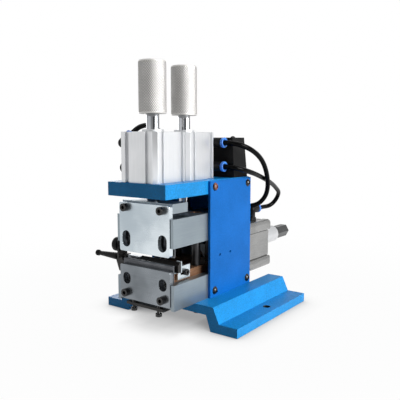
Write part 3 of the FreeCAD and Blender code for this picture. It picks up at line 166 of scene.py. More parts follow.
def worked_surface():
    """The shared effect: colour, roughness and height that vary with a stretched grain."""
    name = "worked_surface"
    if name in bpy.data.node_groups:
        return bpy.data.node_groups[name]
    group = bpy.data.node_groups.new(name, "ShaderNodeTree")
    face = group.interface
    for label, kind, default in (
        ("Light colour", "NodeSocketColor", (1, 1, 1, 1)),
        ("Dark colour", "NodeSocketColor", (0, 0, 0, 1)),
        ("Grain", "NodeSocketVector", (100.0, 100.0, 100.0)),
        ("Cloud scale", "NodeSocketFloat", 20.0),
        ("Grain share", "NodeSocketFloat", 0.5),
        ("Smooth", "NodeSocketFloat", 0.3),
        ("Rough", "NodeSocketFloat", 0.5),
        ("Bump distance", "NodeSocketFloat", 0.00002),
    ):
        socket = face.new_socket(name=label, in_out="INPUT", socket_type=kind)
        socket.default_value = default
    face.new_socket(name="Colour", in_out="OUTPUT", socket_type="NodeSocketColor")
    face.new_socket(name="Roughness", in_out="OUTPUT", socket_type="NodeSocketFloat")
    face.new_socket(name="Normal", in_out="OUTPUT", socket_type="NodeSocketVector")
    nodes, links = group.nodes, group.links
    source = nodes.new("NodeGroupInput")
    result = nodes.new("NodeGroupOutput")
    place = nodes.new("ShaderNodeTexCoord")
    stretch = nodes.new("ShaderNodeVectorMath")
    stretch.operation = "MULTIPLY"
    links.new(place.outputs["Object"], stretch.inputs[0])
    links.new(source.outputs["Grain"], stretch.inputs[1])
    grain = nodes.new("ShaderNodeTexNoise")
    grain.inputs["Scale"].default_value = 1.0
    grain.inputs["Detail"].default_value = 4.0
    links.new(stretch.outputs["Vector"], grain.inputs["Vector"])
    cloud = nodes.new("ShaderNodeTexNoise")
    cloud.inputs["Detail"].default_value = 3.0
    links.new(place.outputs["Object"], cloud.inputs["Vector"])
    links.new(source.outputs["Cloud scale"], cloud.inputs["Scale"])
    blend = nodes.new("ShaderNodeMix")
    blend.data_type = "FLOAT"
    links.new(source.outputs["Grain share"], blend.inputs["Factor"])
    links.new(cloud.outputs["Fac"], blend.inputs["A"])
    links.new(grain.outputs["Fac"], blend.inputs["B"])
    spread = nodes.new("ShaderNodeMapRange")
    spread.interpolation_type = "SMOOTHSTEP"
    spread.inputs["From Min"].default_value = 0.3
    spread.inputs["From Max"].default_value = 0.7
    links.new(blend.outputs["Result"], spread.inputs["Value"])
    tint = nodes.new("ShaderNodeMix")
    tint.data_type = "RGBA"
    links.new(spread.outputs["Result"], tint.inputs["Factor"])
    links.new(source.outputs["Dark colour"], tint.inputs["A"])
    links.new(source.outputs["Light colour"], tint.inputs["B"])
    gloss = nodes.new("ShaderNodeMix")
    gloss.data_type = "FLOAT"
    links.new(spread.outputs["Result"], gloss.inputs["Factor"])
    links.new(source.outputs["Rough"], gloss.inputs["A"])
    links.new(source.outputs["Smooth"], gloss.inputs["B"])
    bump = nodes.new("ShaderNodeBump")
    links.new(grain.outputs["Fac"], bump.inputs["Height"])
    links.new(source.outputs["Bump distance"], bump.inputs["Distance"])
    links.new(tint.outputs["Result"], result.inputs["Colour"])
    links.new(gloss.outputs["Result"], result.inputs["Roughness"])
    links.new(bump.outputs["Normal"], result.inputs["Normal"])
    return group


def finish(name, light, dark, metallic, smooth, rough, grain, cloud, share, bump, coat=0.0, specular=0.5):
    """A material whose surface is worked by the shared grain."""
    material = bpy.data.materials.new(name)
    material.use_nodes = True
    nodes, links = material.node_tree.nodes, material.node_tree.links
    shader = nodes["Principled BSDF"]
    shader.inputs["Metallic"].default_value = metallic
    shader.inputs["Specular IOR Level"].default_value = specular
    shader.inputs["Coat Weight"].default_value = coat
    shader.inputs["Coat Roughness"].default_value = 0.08
    work = nodes.new("ShaderNodeGroup")
    work.name = "work"
    work.node_tree = worked_surface()
    work.inputs["Light colour"].default_value = light
    work.inputs["Dark colour"].default_value = dark
    work.inputs["Grain"].default_value = grain
    work.inputs["Cloud scale"].default_value = cloud
    work.inputs["Grain share"].default_value = share
    work.inputs["Smooth"].default_value = smooth
    work.inputs["Rough"].default_value = rough
    work.inputs["Bump distance"].default_value = bump
    links.new(work.outputs["Colour"], shader.inputs["Base Color"])
    links.new(work.outputs["Roughness"], shader.inputs["Roughness"])
    links.new(work.outputs["Normal"], shader.inputs["Normal"])
    return material


def add_groove_painted_shade(material):
    """Darkens the grooves of the knurl with painted shade, where the mesh marks them."""
    nodes, links = material.node_tree.nodes, material.node_tree.links
    mark = nodes.new("ShaderNodeAttribute")
    mark.attribute_name = "groove"
    shade = nodes.new("ShaderNodeMix")
    shade.data_type = "RGBA"
    shade.inputs["B"].default_value = KNURL_PAINTED_SHADE
    links.new(mark.outputs["Fac"], shade.inputs["Factor"])
    links.new(nodes["work"].outputs["Colour"], shade.inputs["A"])
    links.new(shade.outputs["Result"], nodes["Principled BSDF"].inputs["Base Color"])


def tint_spot(material, centre, axes, reach, colour):
    """Another tint close to one place, measured along the given axes only, with a soft border."""
    border = 1.1
    nodes, links = material.node_tree.nodes, material.node_tree.links
    colour_in = nodes["Principled BSDF"].inputs["Base Color"]
    place = nodes.new("ShaderNodeTexCoord")
    flat = nodes.new("ShaderNodeVectorMath")
    flat.operation = "MULTIPLY"
    flat.inputs[1].default_value = axes
    links.new(place.outputs["Object"], flat.inputs[0])
    distance = nodes.new("ShaderNodeVectorMath")
    distance.operation = "DISTANCE"
    distance.inputs[1].default_value = centre
    links.new(flat.outputs["Vector"], distance.inputs[0])
    near = nodes.new("ShaderNodeMapRange")
    near.inputs["From Min"].default_value = reach
    near.inputs["From Max"].default_value = reach * border
    near.inputs["To Min"].default_value = 1.0
    near.inputs["To Max"].default_value = 0.0
    links.new(distance.outputs["Value"], near.inputs["Value"])
    shade = nodes.new("ShaderNodeMix")
    shade.data_type = "RGBA"
    shade.inputs["B"].default_value = colour
    links.new(near.outputs["Result"], shade.inputs["Factor"])
    links.new(colour_in.links[0].from_socket, shade.inputs["A"])
    links.new(shade.outputs["Result"], colour_in)


# How fine the grain is along x, y and z
EVEN = (900.0, 900.0, 900.0)
ALONG_X = (40.0, 1400.0, 1400.0)
ALONG_Y = (1400.0, 40.0, 1400.0)
ALONG_Z = (1400.0, 1400.0, 30.0)


# Each finish that follows no setting: the material's name, its light and dark tone on screen, how metallic it
# is, its roughness where light and where dark, its grain, cloud scale, share of the grain and bump height in
# metres, then, where they differ from the usual, its coat and specular level
FINISHES = {
    "anodised_aluminium": (
        "drawn aluminium", (227, 228, 230), (212, 214, 216), 0.85, 0.34, 0.44, ALONG_Z, 25.0, 0.35, 4e-6
    ),
    "ground_steel": (
        "ground steel", (152, 164, 170), (130, 140, 148), 0.85, 0.3, 0.44, ALONG_Y, 14.0, 0.2, 3e-6
    ),
    "plate_steel": (
        "polished plate", (234, 243, 248), (184, 196, 204), 0.85, 0.16, 0.34, ALONG_X, 19.0, 0.12, 3e-6
    ),
    "black_screw": (
        "black oxide screw", (18, 18, 19), (6, 6, 7), 0.0, 0.14, 0.3, EVEN, 200.0, 0.4, 1e-5, 0.0, 0.5
    ),
    "black_steel": (
        "black oxide bar", (44, 42, 41), (16, 15, 15), 0.1, 0.34, 0.5, ALONG_X, 60.0, 0.5, 1e-5, 0.0, 0.4
    ),
    "chrome_rod": (
        "hard chrome", (178, 180, 184), (150, 153, 158), 1.0, 0.06, 0.12, ALONG_Z, 60.0, 0.3, 2e-6
    ),
    "knurled_steel": (
        "knurled steel", (232, 230, 227), (218, 216, 213), 0.6, 0.34, 0.46, EVEN, 60.0, 0.4, 4e-6
    ),
    "bronze": ("machined bronze", (166, 124, 94), (112, 80, 58), 0.6, 0.3, 0.5, ALONG_Y, 60.0, 0.5, 1e-5),
    "black_plastic": (
        "black moulding", (14, 14, 15), (5, 5, 6), 0.0, 0.4, 0.55, EVEN, 60.0, 0.6, 2e-5, 0.0, 0.15
    ),
    "blue_plastic": (
        "blue collar", (72, 150, 245), (40, 110, 215), 0.0, 0.25, 0.38, EVEN, 120.0, 0.4, 1e-5, 0.2
    ),
    "hose_plastic": ("hose skin", (8, 8, 9), (3, 3, 4), 0.0, 0.12, 0.18, EVEN, 90.0, 0.3, 3e-6, 0.0, 0.06),
    "blade_steel": (
        "hardened blade", (112, 114, 118), (70, 72, 76), 0.9, 0.24, 0.4, ALONG_X, 60.0, 0.6, 8e-6
    ),
    "spring_steel": ("spring steel", (110, 110, 112), (70, 70, 72), 0.9, 0.3, 0.4, EVEN, 90.0, 0.5, 1e-5),
    # A darker copy of the drawn aluminium for the rear cylinder and its cap: painted shade
    "shaded_aluminium": (
        "shaded aluminium", (166, 166, 165), (146, 146, 145), 0.9, 0.18, 0.28, ALONG_Y, 30.0, 0.4, 2e-6
    ),
    # A darker copy of the polished plate; on the lower clamp plate it is painted shade, a dimmer reflection
    "dull_plate": (
        "darker plate", (148, 154, 160), (110, 116, 121), 0.85, 0.22, 0.4, ALONG_X, 22.0, 0.15, 3e-6
    ),
    # Darkened steel for the guide posts between the arms: painted shade
    "shadowed_steel": ("shadowed post", (70, 70, 72), (48, 48, 50), 0.8, 0.24, 0.36, ALONG_Z, 60.0, 0.3, 4e-6),
    "dark_steel": ("dark steel", (96, 97, 98), (66, 67, 68), 0.9, 0.2, 0.34, ALONG_Y, 60.0, 0.5, 4e-6),
}


def finishes(look):
    """Every material by the name of its finish. The record's material slots are among these names."""
    paint = look.paint_colour[:3]
    paint_light = (*(min(1.0, channel * ENAMEL_LIGHT) for channel in paint), 1.0)
    paint_shade = (*(channel * ENAMEL_DARK for channel in paint), 1.0)
    satin = (*(channel * share for channel, share in zip(paint, SATIN_LIGHT)), 1.0)
    satin_shade = (*(channel * share for channel, share in zip(paint, SATIN_DARK)), 1.0)
    made = {
        "blue_paint": finish(
            "blue enamel", paint_light, paint_shade, 0.0, 0.32, 0.46, EVEN, 30.0, 0.75, 1.2e-4, specular=0.25
        ),
        "satin_paint": finish(
            "shaded satin enamel", satin, satin_shade, 0.0, 0.36, 0.5, EVEN, 22.0, 0.5, 5e-5, specular=0.12
        ),
    }
    for slot, (name, light, dark, *work) in FINISHES.items():
        made[slot] = finish(name, srgb(*light), srgb(*dark), *work)
    add_groove_painted_shade(made["knurled_steel"])
    return made


# Pieces whose look differs from the rest of their slot
OWN_FINISH = {
    # The covers' satin is a darker copy of the enamel: painted shade
    "right_cover": "satin_paint",
    "left_cover": "satin_paint",
    # The rear cap's darker aluminium is painted shade
    "strip_rear_cap": "shaded_aluminium",
    "stroke_bolt": "dark_steel",
    "stop_lock_nut": "dark_steel",
    # The lower clamp plate's darker plate is painted shade: the dimmer reflection it shows
    "lower_clamp_plate": "dull_plate",
    "cylinder_bolts": "ground_steel",
    "hose_elbows": "black_plastic",
    "gauge_block": "dull_plate",
    "left_bracket": "black_steel",
    "right_guide": "plate_steel",
    # The guide posts' darkened steel is painted shade
    "guide_posts": "shadowed_steel",
    "upper_blade_screws": "black_screw",
    "lower_blade_screws": "black_screw",
}


def slot_of(node):
    """The material slot that the record gives a node."""
    for entry in frame["record"]["subparts"]:
        if entry["node"] == node:
            return entry["material_slot"]
    raise RuntimeError(f"no slot for {node}")


def dress(nodes, bevel):
    """Gives CAD nodes their finish, and breaks their sharp edges by the bevel's width, if it has one."""
    materials = bpy.context.scene["finish_names"]
    for node in nodes:
        piece = frame["nodes"][node]
        material = bpy.data.materials[materials[OWN_FINISH.get(node, slot_of(node))]]
        for slot in piece.material_slots:
            slot.material = material
        if bevel > 0.0:
            weld = piece.modifiers.new("weld", "WELD")
            weld.merge_threshold = WELD_REACH
            merge = piece.modifiers.new("flat_faces", "DECIMATE")
            merge.decimate_type = "DISSOLVE"
            merge.angle_limit = FLAT_ANGLE
            edge = piece.modifiers.new("broken_edges", "BEVEL")
            edge.width = bevel
            edge.segments = 2
            edge.limit_method = "ANGLE"
            edge.angle_limit = SHARP_ANGLE
            edge.harden_normals = True


def new_piece(name, points, faces, look, body):
    """A smooth mesh with a finish, on a body. Its one slot holds the given finish's material."""
    mesh = bpy.data.meshes.new(name)
    mesh.from_pydata(points, [], faces)
    mesh.validate()
    mesh.polygons.foreach_set("use_smooth", [True] * len(mesh.polygons))
    piece = bpy.data.objects.new(name, mesh)
    bpy.context.collection.objects.link(piece)
    mesh.materials.append(bpy.data.materials[bpy.context.scene["finish_names"][look]])
    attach(piece, body)
    return piece


def lathe(profile, steps, centre, direction):
    """Points and faces of a closed profile of radius and height turned about a direction."""
    turn = Vector((0, 0, 1)).rotation_difference(Vector(direction)).to_matrix()
    points, faces = [], []
    count = len(profile)
    for step in range(steps):
        angle = 2 * math.pi * step / steps
        for radius, height in profile:
            spot = Vector((radius * math.cos(angle), radius * math.sin(angle), height))
            points.append(Vector(centre) + turn @ spot)
    for step in range(steps):
        here, there = step * count, (step + 1) % steps * count
        for index in range(count):
            following = (index + 1) % count
            faces.append((here + index, there + index, there + following, here + following))
    return points, faces


class LookSettings(bpy.types.PropertyGroup):
    paint_colour: bpy.props.FloatVectorProperty(
        name="Paint", description="Colour of the enamel", subtype="COLOR", size=4, default=srgb(18, 138, 208)
    )
    edge_break: bpy.props.FloatProperty(
        name="Edge break",
        description="Width of the broken edges",
        default=0.35 * MM,
        unit="LENGTH",
        precision=5,
    )
    knurl_starts: bpy.props.IntProperty(
        name="Knurl", description="Crossing grooves around a knob", default=48, min=12
    )
    knurl_depth: bpy.props.FloatProperty(
        name="Knurl depth", description="Height of the knurl", default=0.5 * MM, unit="LENGTH", precision=5
    )
    light_level: bpy.props.FloatProperty(
        name="Light", description="Strength of the world light", default=0.13
    )


class WIRE_OT_finishes(bpy.types.Operator):
    """Makes every finish once"""

    bl_idname = "wire_stripper.finishes"
    bl_label = "Finishes"

    def execute(self, context):
        made = finishes(context.scene.wire_stripper)
        # The dark tint round the bench plate's holes is painted shade
        for side in (-1, 1):
            hole = (side * BENCH_HOLE_PLACE, 0.0, 0.0)
            tint_spot(made["blue_paint"], hole, (1.0, 1.0, 0.0), BENCH_HOLE_RADIUS, HOLE_PAINTED_SHADE)
        tint_spot(made["black_screw"], BROWNED_SCREW, (1.0, 1.0, 1.0), BROWNED_REACH, BROWNED_SHADE)
        context.scene["finish_names"] = {slot: material.name for slot, material in made.items()}
        return {"FINISHED"}


class WIRE_OT_painted_plates(bpy.types.Operator):
    """Paints the bench plate, roof plate, rear wall and side covers"""

    bl_idname = "wire_stripper.painted_plates"
    bl_label = "Painted plates"

    def execute(self, context):
        dress(PAINTED, context.scene.wire_stripper.edge_break)
        return {"FINISHED"}


class WIRE_OT_machined_parts(bpy.types.Operator):
    """Finishes the steel, aluminium, bronze and plastic pieces that keep their CAD shape"""

    bl_idname = "wire_stripper.machined_parts"
    bl_label = "Machined parts"

    def execute(self, context):
        rest = sorted(set(frame["nodes"]).difference(PAINTED, REBUILT))
        edge = context.scene.wire_stripper.edge_break
        dress([node for node in rest if node in BROAD], edge * BROAD_SHARE)
        dress([node for node in rest if node not in FINE | BROAD], edge * NARROW_SHARE)
        dress([node for node in rest if node in FINE], 0.0)
        return {"FINISHED"}


class WIRE_OT_strip_barrel(bpy.types.Operator):
    """Builds the rear cylinder with round corner lobes and sunk side panels"""

    bl_idname = "wire_stripper.strip_barrel"
    bl_label = "Rear cylinder"

    def execute(self, context):
        low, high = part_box("strip_barrel")
        points, faces = lobed_barrel(low, high)
        # The rear cylinder takes the darker aluminium, painted shade
        piece = new_piece("strip_barrel_lobed", points, faces, "shaded_aluminium", "frame")
        piece.data.set_sharp_from_angle(angle=SHARP_ANGLE)
        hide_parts("strip_barrel")
        return {"FINISHED"}


def lobed_section(half):
    """The outline of the extrusion round its axis: corner lobes with sunk panels between them."""
    lobe, corner, lip, slit = 14.0 * MM, 5.0 * MM, 3.0 * MM, 1.2 * MM
    level_sink, upright_sink = 0.8 * MM, 3.4 * MM
    corner_steps, lip_steps = 8, 4
    inner = half - lobe
    outline = []
    for quarter in range(4):
        sink = (level_sink, upright_sink)[quarter % 2]
        groove = sink + slit
        side = []
        for step in range(corner_steps + 1):
            angle = math.radians(90 * step / corner_steps)
            side.append((half - corner + corner * math.cos(angle), half - corner + corner * math.sin(angle)))
        for step in range(1, lip_steps + 1):
            angle = math.radians(90 + 90 * step / lip_steps)
            side.append((inner + lip + lip * math.cos(angle), half - lip + lip * math.sin(angle)))
        side += [(inner, half - groove), (inner - slit, half - groove), (inner - slit, half - sink)]
        side += [(-inner + slit, half - sink), (-inner + slit, half - groove), (-inner, half - groove)]
        for step in range(lip_steps + 1):
            angle = math.radians(90 * step / lip_steps)
            side.append((-inner - lip + lip * math.cos(angle), half - lip + lip * math.sin(angle)))
        for across, along in side:
            for _ in range(quarter):
                across, along = -along, across
            outline.append((across, along))
    return outline


def circle(centre, radius, steps):
    """Evenly spaced points round a centre."""
    turns = [2 * math.pi * step / steps for step in range(steps)]
    return [(centre[0] + radius * math.cos(turn), centre[1] + radius * math.sin(turn)) for turn in turns]


def lobed_barrel(low, high):
    """Points and faces of the rear cylinder: bore right through, and a deep seat for each bolt head."""
    head_radius, seat_radius, seat_depth = 4.4 * MM, 4.5 * MM, 5.6 * MM
    bore_steps, seat_steps = 64, 32
    half = (high[0] - low[0]) / 2
    axis_x, axis_z = (low[0] + high[0]) / 2, (low[2] + high[2]) / 2
    bolt_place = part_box("cylinder_bolts")[1][0] - head_radius - axis_x
    cap_low, cap_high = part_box("strip_rear_cap")
    bore = (cap_high[0] - cap_low[0]) / 2
    corners = [(bolt_place * across, bolt_place * up) for across in (-1, 1) for up in (-1, 1)]
    through = [lobed_section(half), circle((0, 0), bore, bore_steps)]
    seats = [circle(corner, seat_radius, seat_steps) for corner in corners]
    work = bmesh.new()

    def ring(shape, depth):
        around = [work.verts.new((axis_x + across, depth, axis_z + up)) for across, up in shape]
        return [work.edges.new((around[n - 1], around[n])) for n in range(len(around))]

    rear = [ring(shape, high[1]) for shape in through + seats]
    front = [ring(shape, low[1]) for shape in through]
    floors = [ring(shape, high[1] - seat_depth) for shape in seats]
    for group in (rear, front):
        bmesh.ops.triangle_fill(work, use_beauty=True, edges=[edge for loop in group for edge in loop])
    for near, far in zip(rear, front + floors):
        bmesh.ops.bridge_loops(work, edges=near + far)
    for loop in floors:
        bmesh.ops.triangle_fill(work, use_beauty=True, edges=loop)
    bmesh.ops.recalc_face_normals(work, faces=work.faces)
    work.verts.index_update()
    points = [tuple(corner.co) for corner in work.verts]
    faces = [tuple(corner.index for corner in face.verts) for face in work.faces]
    work.free()
    return points, faces


class WIRE_OT_knobs(bpy.types.Operator):
    """Builds both stroke knobs with a crossed knurl between plain rims"""

    bl_idname = "wire_stripper.knobs"
    bl_label = "Knurled knobs"

    def execute(self, context):
        look = context.scene.wire_stripper
        for node in ("clamp_knob", "knife_knob"):
            low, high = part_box(node)
            radius = (high[0] - low[0]) / 2
            centre = ((high[0] + low[0]) / 2, (high[1] + low[1]) / 2)
            shape = knurled_barrel(centre, low[2], high[2], radius, look.knurl_starts, look.knurl_depth)
            points, faces, marks = shape
            piece = new_piece(f"{node}_knurled", points, faces, "knurled_steel", node)
            # The groove marks tell where the knurl's painted shade goes
            groove = piece.data.attributes.new("groove", "FLOAT", "POINT")
            groove.data.foreach_set("value", marks)
            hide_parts(node)
        return {"FINISHED"}


def knurled_barrel(centre, low, high, radius, starts, depth):
    """A closed barrel: bevelled ends, plain rims, and diamonds where two sets of grooves cross."""
    per_groove, slope, flank = 6, 1.5, 1.7
    rim, rim_drop, bevel, bore, middle = 1.4 * MM, 0.15 * MM, 0.7 * MM, 6.1 * MM, 0.3 * MM
    around = starts * per_groove
    plain = radius - rim_drop
    pitch = 2 * math.pi * radius / starts
    body = high - low - 2 * rim
    count = round(body / (pitch * slope) * per_groove)
    rows = [(bore, low, 0.0), (plain - bevel, low, 0.0), (plain, low + bevel, 0.0), (plain, low + rim, 0.0)]
    rows += [(radius, low + rim + body * (n + 0.5) / count, 1.0) for n in range(count)]
    rows += [(plain, high - rim, 0.0), (plain, high - bevel, 0.0), (plain - bevel, high, 0.0)]
    rows += [(middle, high, 0.0)]
    points, faces, marks = [], [], []
    for reach, height, cut in rows:
        rise = (height - low) / (pitch * slope)
        for step in range(around):
            angle = 2 * math.pi * step / around
            turn = step / per_groove
            first = abs(((turn + rise) % 1.0) * 2 - 1)
            second = abs(((turn - rise) % 1.0) * 2 - 1)
            groove = cut * (1 - min(1.0, flank * min(first, second)))
            spot = reach - depth * groove
            points.append((centre[0] + spot * math.cos(angle), centre[1] + spot * math.sin(angle), height))
            marks.append(groove)
    for row in range(len(rows) - 1):
        for step in range(around):
            following = (step + 1) % around
            here, there = row * around, (row + 1) * around
            faces.append((here + step, here + following, there + following, there + step))
    last = (len(rows) - 1) * around
    faces.append(tuple(last + step for step in range(around)))
    return points, faces, marks


# Radius and height of a collar, in millimetres: two rings with a groove between them
COLLET_PROFILE = [
    (3.06, 0.0),
    (5.6, 0.0),
    (5.9, 0.3),
    (6.0, 1.1),
    (5.6, 1.4),
    (5.0, 1.5),
    (5.0, 1.9),
    (5.7, 2.0),
    (6.1, 2.4),
    (6.1, 3.1),
    (5.6, 3.6),
    (4.6, 3.6),
    (3.9, 3.2),
    (3.4, 2.4),
    (3.06, 2.0),
]
# The same for the plain collar of the air inlet
INLET_PROFILE = [(4.05, 0.0), (6.6, 0.0), (7.0, 0.6), (7.0, 2.2), (6.4, 3.0), (4.6, 3.0), (4.05, 2.4)]
COLLET_STEPS = 48
INLET_STEPS = 40


def add_collar(points, faces, profile, steps, seat, way):
    """Adds one turned collar to the points and faces of a mesh."""
    more, sides = lathe([(radius * MM, height * MM) for radius, height in profile], steps, seat, way)
    start = len(points)
    points += more
    faces += [tuple(index + start for index in side) for side in sides]


class WIRE_OT_collets(bpy.types.Operator):
    """Builds the push-in collars that grip the hoses"""

    bl_idname = "wire_stripper.collets"
    bl_label = "Hose collets"

    def execute(self, context):
        points, faces = [], []
        for route, _ in HOSES.values():
            for seat, beyond in ((route[0], route[1]), (route[-1], route[-2])):
                add_collar(points, faces, COLLET_PROFILE, COLLET_STEPS, seat, Vector(beyond) - Vector(seat))
        inlet_low, inlet_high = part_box("air_inlet")
        inlet_seat = (0.0, inlet_high[1], (inlet_low[2] + inlet_high[2]) / 2)
        add_collar(points, faces, INLET_PROFILE, INLET_STEPS, inlet_seat, (0, 1, 0))
        piece = new_piece("push_in_collars", points, faces, "blue_plastic", "frame")
        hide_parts("hose_collets")
        return {"FINISHED"}


class WIRE_OT_hoses(bpy.types.Operator):
    """Lays the four air hoses along their routes"""

    bl_idname = "wire_stripper.hoses"
    bl_label = "Air hoses"

    def execute(self, context):
        for node, (route, length) in HOSES.items():
            curve = bpy.data.curves.new(f"{node}_tube", "CURVE")
            curve.dimensions = "3D"
            curve.resolution_u = 16
            curve.bevel_depth = HOSE_DIAMETER / 2
            curve.bevel_resolution = 8
            curve.use_fill_caps = True
            spline = curve.splines.new("NURBS")
            spline.points.add(len(route) - 1)
            for point, spot in zip(spline.points, route):
                point.co = (*spot, 1.0)
            spline.order_u = 3
            spline.use_endpoint_u = True
            curve.materials.append(bpy.data.materials[context.scene["finish_names"]["hose_plastic"]])
            hose = bpy.data.objects.new(f"{node}_tube", curve)
            context.collection.objects.link(hose)
            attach(hose, "frame")
            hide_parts(node)
        return {"FINISHED"}


# Name, place, aim, width in metres and power in watts of each lamp
LAMPS = (
    ("key_right", (1.5, 0.1, 0.5), (0.0, 0.0, 0.12), 0.9, 30.0),
    ("top_soft", (0.2, 0.2, 1.6), (0.0, 0.0, 0.1), 1.2, 5.0),
    ("front_fill", (-0.4, -1.6, 0.5), (0.0, 0.0, 0.12), 1.0, 0.4),
    ("back_left", (-1.4, 0.9, 0.5), (0.0, 0.0, 0.12), 1.2, 14.0),
)

# The camera: its place, degrees below level, degrees round to the right, and focal length on a 36 mm sensor
CAMERA_PLACE = (0.3746, -0.5263, 0.2073)
CAMERA_DROP = 6.70
CAMERA_TURN = 36.5
CAMERA_LENS = 46.75


class WIRE_OT_stage(bpy.types.Operator):
    """Sets the pale floor, the soft studio light and the camera"""

    bl_idname = "wire_stripper.stage"
    bl_label = "Stage"

    def execute(self, context):
        scene = context.scene
        scene.view_settings.view_transform = "Standard"
        add_floor()
        add_world(scene, scene.wire_stripper.light_level)
        for name, spot, aim, width, power in LAMPS:
            add_lamp(scene, name, spot, aim, width, power)
        lens = bpy.data.cameras.new("camera")
        lens.sensor_width = 36.0
        lens.lens = CAMERA_LENS
        lens.clip_start = 0.01
        camera = bpy.data.objects.new("camera", lens)
        camera.location = CAMERA_PLACE
        camera.rotation_euler = (math.radians(90.0 - CAMERA_DROP), 0.0, math.radians(CAMERA_TURN))
        scene.collection.objects.link(camera)
        scene.camera = camera
        return {"FINISHED"}


def add_lamp(scene, name, spot, aim, width, power):
    """A square lamp that looks from its place to its aim."""
    data = bpy.data.lights.new(name, "AREA")
    data.shape = "SQUARE"
    data.size = width
    data.energy = power
    lamp = bpy.data.objects.new(name, data)
    lamp.location = spot
    lamp.rotation_euler = (Vector(aim) - Vector(spot)).to_track_quat("-Z", "Y").to_euler()
    scene.collection.objects.link(lamp)


def seen_by_eye_or_mirror(nodes, links):
    """A socket that is 1 for camera, mirror and glass rays, and 0 for light that falls on things."""
    path = nodes.new("ShaderNodeLightPath")
    first = nodes.new("ShaderNodeMath")
    first.operation = "MAXIMUM"
    second = nodes.new("ShaderNodeMath")
    second.operation = "MAXIMUM"
    links.new(path.outputs["Is Camera Ray"], first.inputs[0])
    links.new(path.outputs["Is Glossy Ray"], first.inputs[1])
    links.new(first.outputs[0], second.inputs[0])
    links.new(path.outputs["Is Transmission Ray"], second.inputs[1])
    return second.outputs[0]


def add_floor():
    """A white floor just under the machine, with a faint shadow only where the machine is close to it."""
    reach, drop = 60.0, 0.2 * MM
    corners = [(-reach, -reach, 0), (reach, -reach, 0), (reach, reach, 0), (-reach, reach, 0)]
    mesh = bpy.data.meshes.new("floor")
    mesh.from_pydata(corners, [], [(0, 1, 2, 3)])
    floor = bpy.data.objects.new("floor", mesh)
    floor.location.z = -drop
    bpy.context.scene.collection.objects.link(floor)
    material = bpy.data.materials.new("pale floor")
    material.use_nodes = True
    nodes, links = material.node_tree.nodes, material.node_tree.links
    shader = nodes["Principled BSDF"]
    shader.inputs["Base Color"].default_value = (0.25, 0.25, 0.25, 1.0)
    shader.inputs["Roughness"].default_value = 0.7
    glow = nodes.new("ShaderNodeEmission")
    seen = seen_by_eye_or_mirror(nodes, links)
    where = nodes.new("ShaderNodeTexCoord")
    distance = nodes.new("ShaderNodeVectorMath")
    distance.operation = "LENGTH"
    links.new(where.outputs["Object"], distance.inputs[0])
    fade = nodes.new("ShaderNodeMapRange")
    fade.interpolation_type = "SMOOTHSTEP"
    fade.inputs["From Min"].default_value = 0.1
    fade.inputs["From Max"].default_value = 0.6
    fade.inputs["To Min"].default_value = 0.97
    fade.inputs["To Max"].default_value = 1.0
    links.new(distance.outputs["Value"], fade.inputs["Value"])
    cover = nodes.new("ShaderNodeAmbientOcclusion")
    cover.inputs["Distance"].default_value = 0.03
    open_share = nodes.new("ShaderNodeMath")
    open_share.operation = "MULTIPLY"
    links.new(fade.outputs["Result"], open_share.inputs[0])
    links.new(cover.outputs["AO"], open_share.inputs[1])
    share = nodes.new("ShaderNodeMath")
    share.operation = "MULTIPLY"
    links.new(seen, share.inputs[0])
    links.new(open_share.outputs[0], share.inputs[1])
    mix = nodes.new("ShaderNodeMixShader")
    links.new(share.outputs[0], mix.inputs["Fac"])
    links.new(shader.outputs[0], mix.inputs[1])
    links.new(glow.outputs[0], mix.inputs[2])
    links.new(mix.outputs[0], nodes["Material Output"].inputs["Surface"])
    mesh.materials.append(material)


# Where the studio's screens begin and end, as a share of a full turn from the left round by the front, and
# how light each is there
SCREENS = [
    (0.0, 0.75),
    (0.005, 1.0),
    (0.215, 1.0),
    (0.225, 0.5),
    (0.34, 0.45),
    (0.35, 0.1),
    (0.42, 0.1),
    (0.43, 1.0),
    (0.59, 1.0),
    (0.6, 0.08),
    (0.635, 0.08),
    (0.645, 0.75),
    (0.84, 0.75),
    (0.855, 0.15),
    (0.985, 0.15),
]


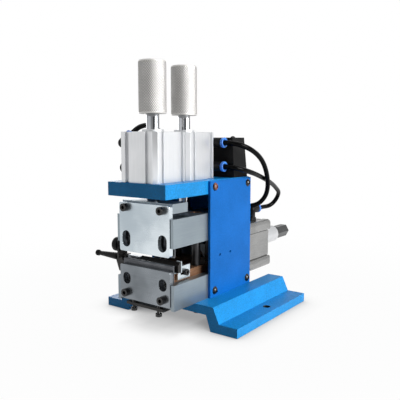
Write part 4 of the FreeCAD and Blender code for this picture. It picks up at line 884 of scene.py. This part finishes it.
def add_world(scene, level):
    """Soft light on everything, white for the camera, and screens round the studio for what mirrors them."""
    world = bpy.data.worlds.new("studio")
    scene.world = world
    world.use_nodes = True
    nodes, links = world.node_tree.nodes, world.node_tree.links
    light = nodes["Background"]
    light.inputs["Color"].default_value = (1.0, 1.0, 1.0, 1.0)
    light.inputs["Strength"].default_value = level
    place = nodes.new("ShaderNodeTexCoord")
    parts = nodes.new("ShaderNodeSeparateXYZ")
    links.new(place.outputs["Generated"], parts.inputs[0])
    bearing = nodes.new("ShaderNodeMath")
    bearing.operation = "ARCTAN2"
    links.new(parts.outputs["Y"], bearing.inputs[0])
    links.new(parts.outputs["X"], bearing.inputs[1])
    turn = nodes.new("ShaderNodeMapRange")
    turn.inputs["From Min"].default_value = -math.pi
    turn.inputs["From Max"].default_value = math.pi
    links.new(bearing.outputs[0], turn.inputs["Value"])
    screens = nodes.new("ShaderNodeValToRGB")
    stops = screens.color_ramp.elements
    while len(stops) < len(SCREENS):
        stops.new(0.5)
    for stop, (spot, tone) in zip(stops, SCREENS):
        stop.position = spot
        stop.color = (tone, tone, tone, 1.0)
    links.new(turn.outputs["Result"], screens.inputs["Fac"])
    mirrored = nodes.new("ShaderNodeBackground")
    links.new(screens.outputs["Color"], mirrored.inputs["Color"])
    shown = nodes.new("ShaderNodeBackground")
    shown.inputs["Color"].default_value = (1.0, 1.0, 1.0, 1.0)
    path = nodes.new("ShaderNodeLightPath")
    by_mirror = nodes.new("ShaderNodeMixShader")
    links.new(path.outputs["Is Glossy Ray"], by_mirror.inputs["Fac"])
    links.new(light.outputs[0], by_mirror.inputs[1])
    links.new(mirrored.outputs[0], by_mirror.inputs[2])
    by_eye = nodes.new("ShaderNodeMixShader")
    links.new(path.outputs["Is Camera Ray"], by_eye.inputs["Fac"])
    links.new(by_mirror.outputs[0], by_eye.inputs[1])
    links.new(shown.outputs[0], by_eye.inputs[2])
    links.new(by_eye.outputs[0], nodes["World Output"].inputs["Surface"])


class WIRE_PT_panel(bpy.types.Panel):
    """Lists the settings and the steps"""

    bl_label = "Wire stripper"
    bl_idname = "WIRE_PT_panel"
    bl_space_type = "VIEW_3D"
    bl_region_type = "UI"
    bl_category = "Wire stripper"

    def draw(self, context):
        look = context.scene.wire_stripper
        for name in ("paint_colour", "edge_break", "knurl_starts", "knurl_depth", "light_level"):
            self.layout.prop(look, name)
        for step in STEPS:
            self.layout.operator(step.bl_idname)


STEPS = (
    WIRE_OT_stage,
    WIRE_OT_finishes,
    WIRE_OT_hoses,
    WIRE_OT_painted_plates,
    WIRE_OT_machined_parts,
    WIRE_OT_strip_barrel,
    WIRE_OT_knobs,
    WIRE_OT_collets,
)
CLASSES = (LookSettings, *STEPS, WIRE_PT_panel)


def register():
    for item in CLASSES:
        bpy.utils.register_class(item)
    bpy.types.Scene.wire_stripper = bpy.props.PointerProperty(type=LookSettings)


def unregister():
    del bpy.types.Scene.wire_stripper
    for item in reversed(CLASSES):
        bpy.utils.unregister_class(item)


def main():
    register()
    bpy.ops.wire_stripper.stage()
    bpy.ops.wire_stripper.finishes()
    bpy.ops.wire_stripper.hoses()
    bpy.ops.wire_stripper.painted_plates()
    bpy.ops.wire_stripper.machined_parts()
    bpy.ops.wire_stripper.strip_barrel()
    bpy.ops.wire_stripper.knobs()
    bpy.ops.wire_stripper.collets()


if __name__ == "__main__":
    main()
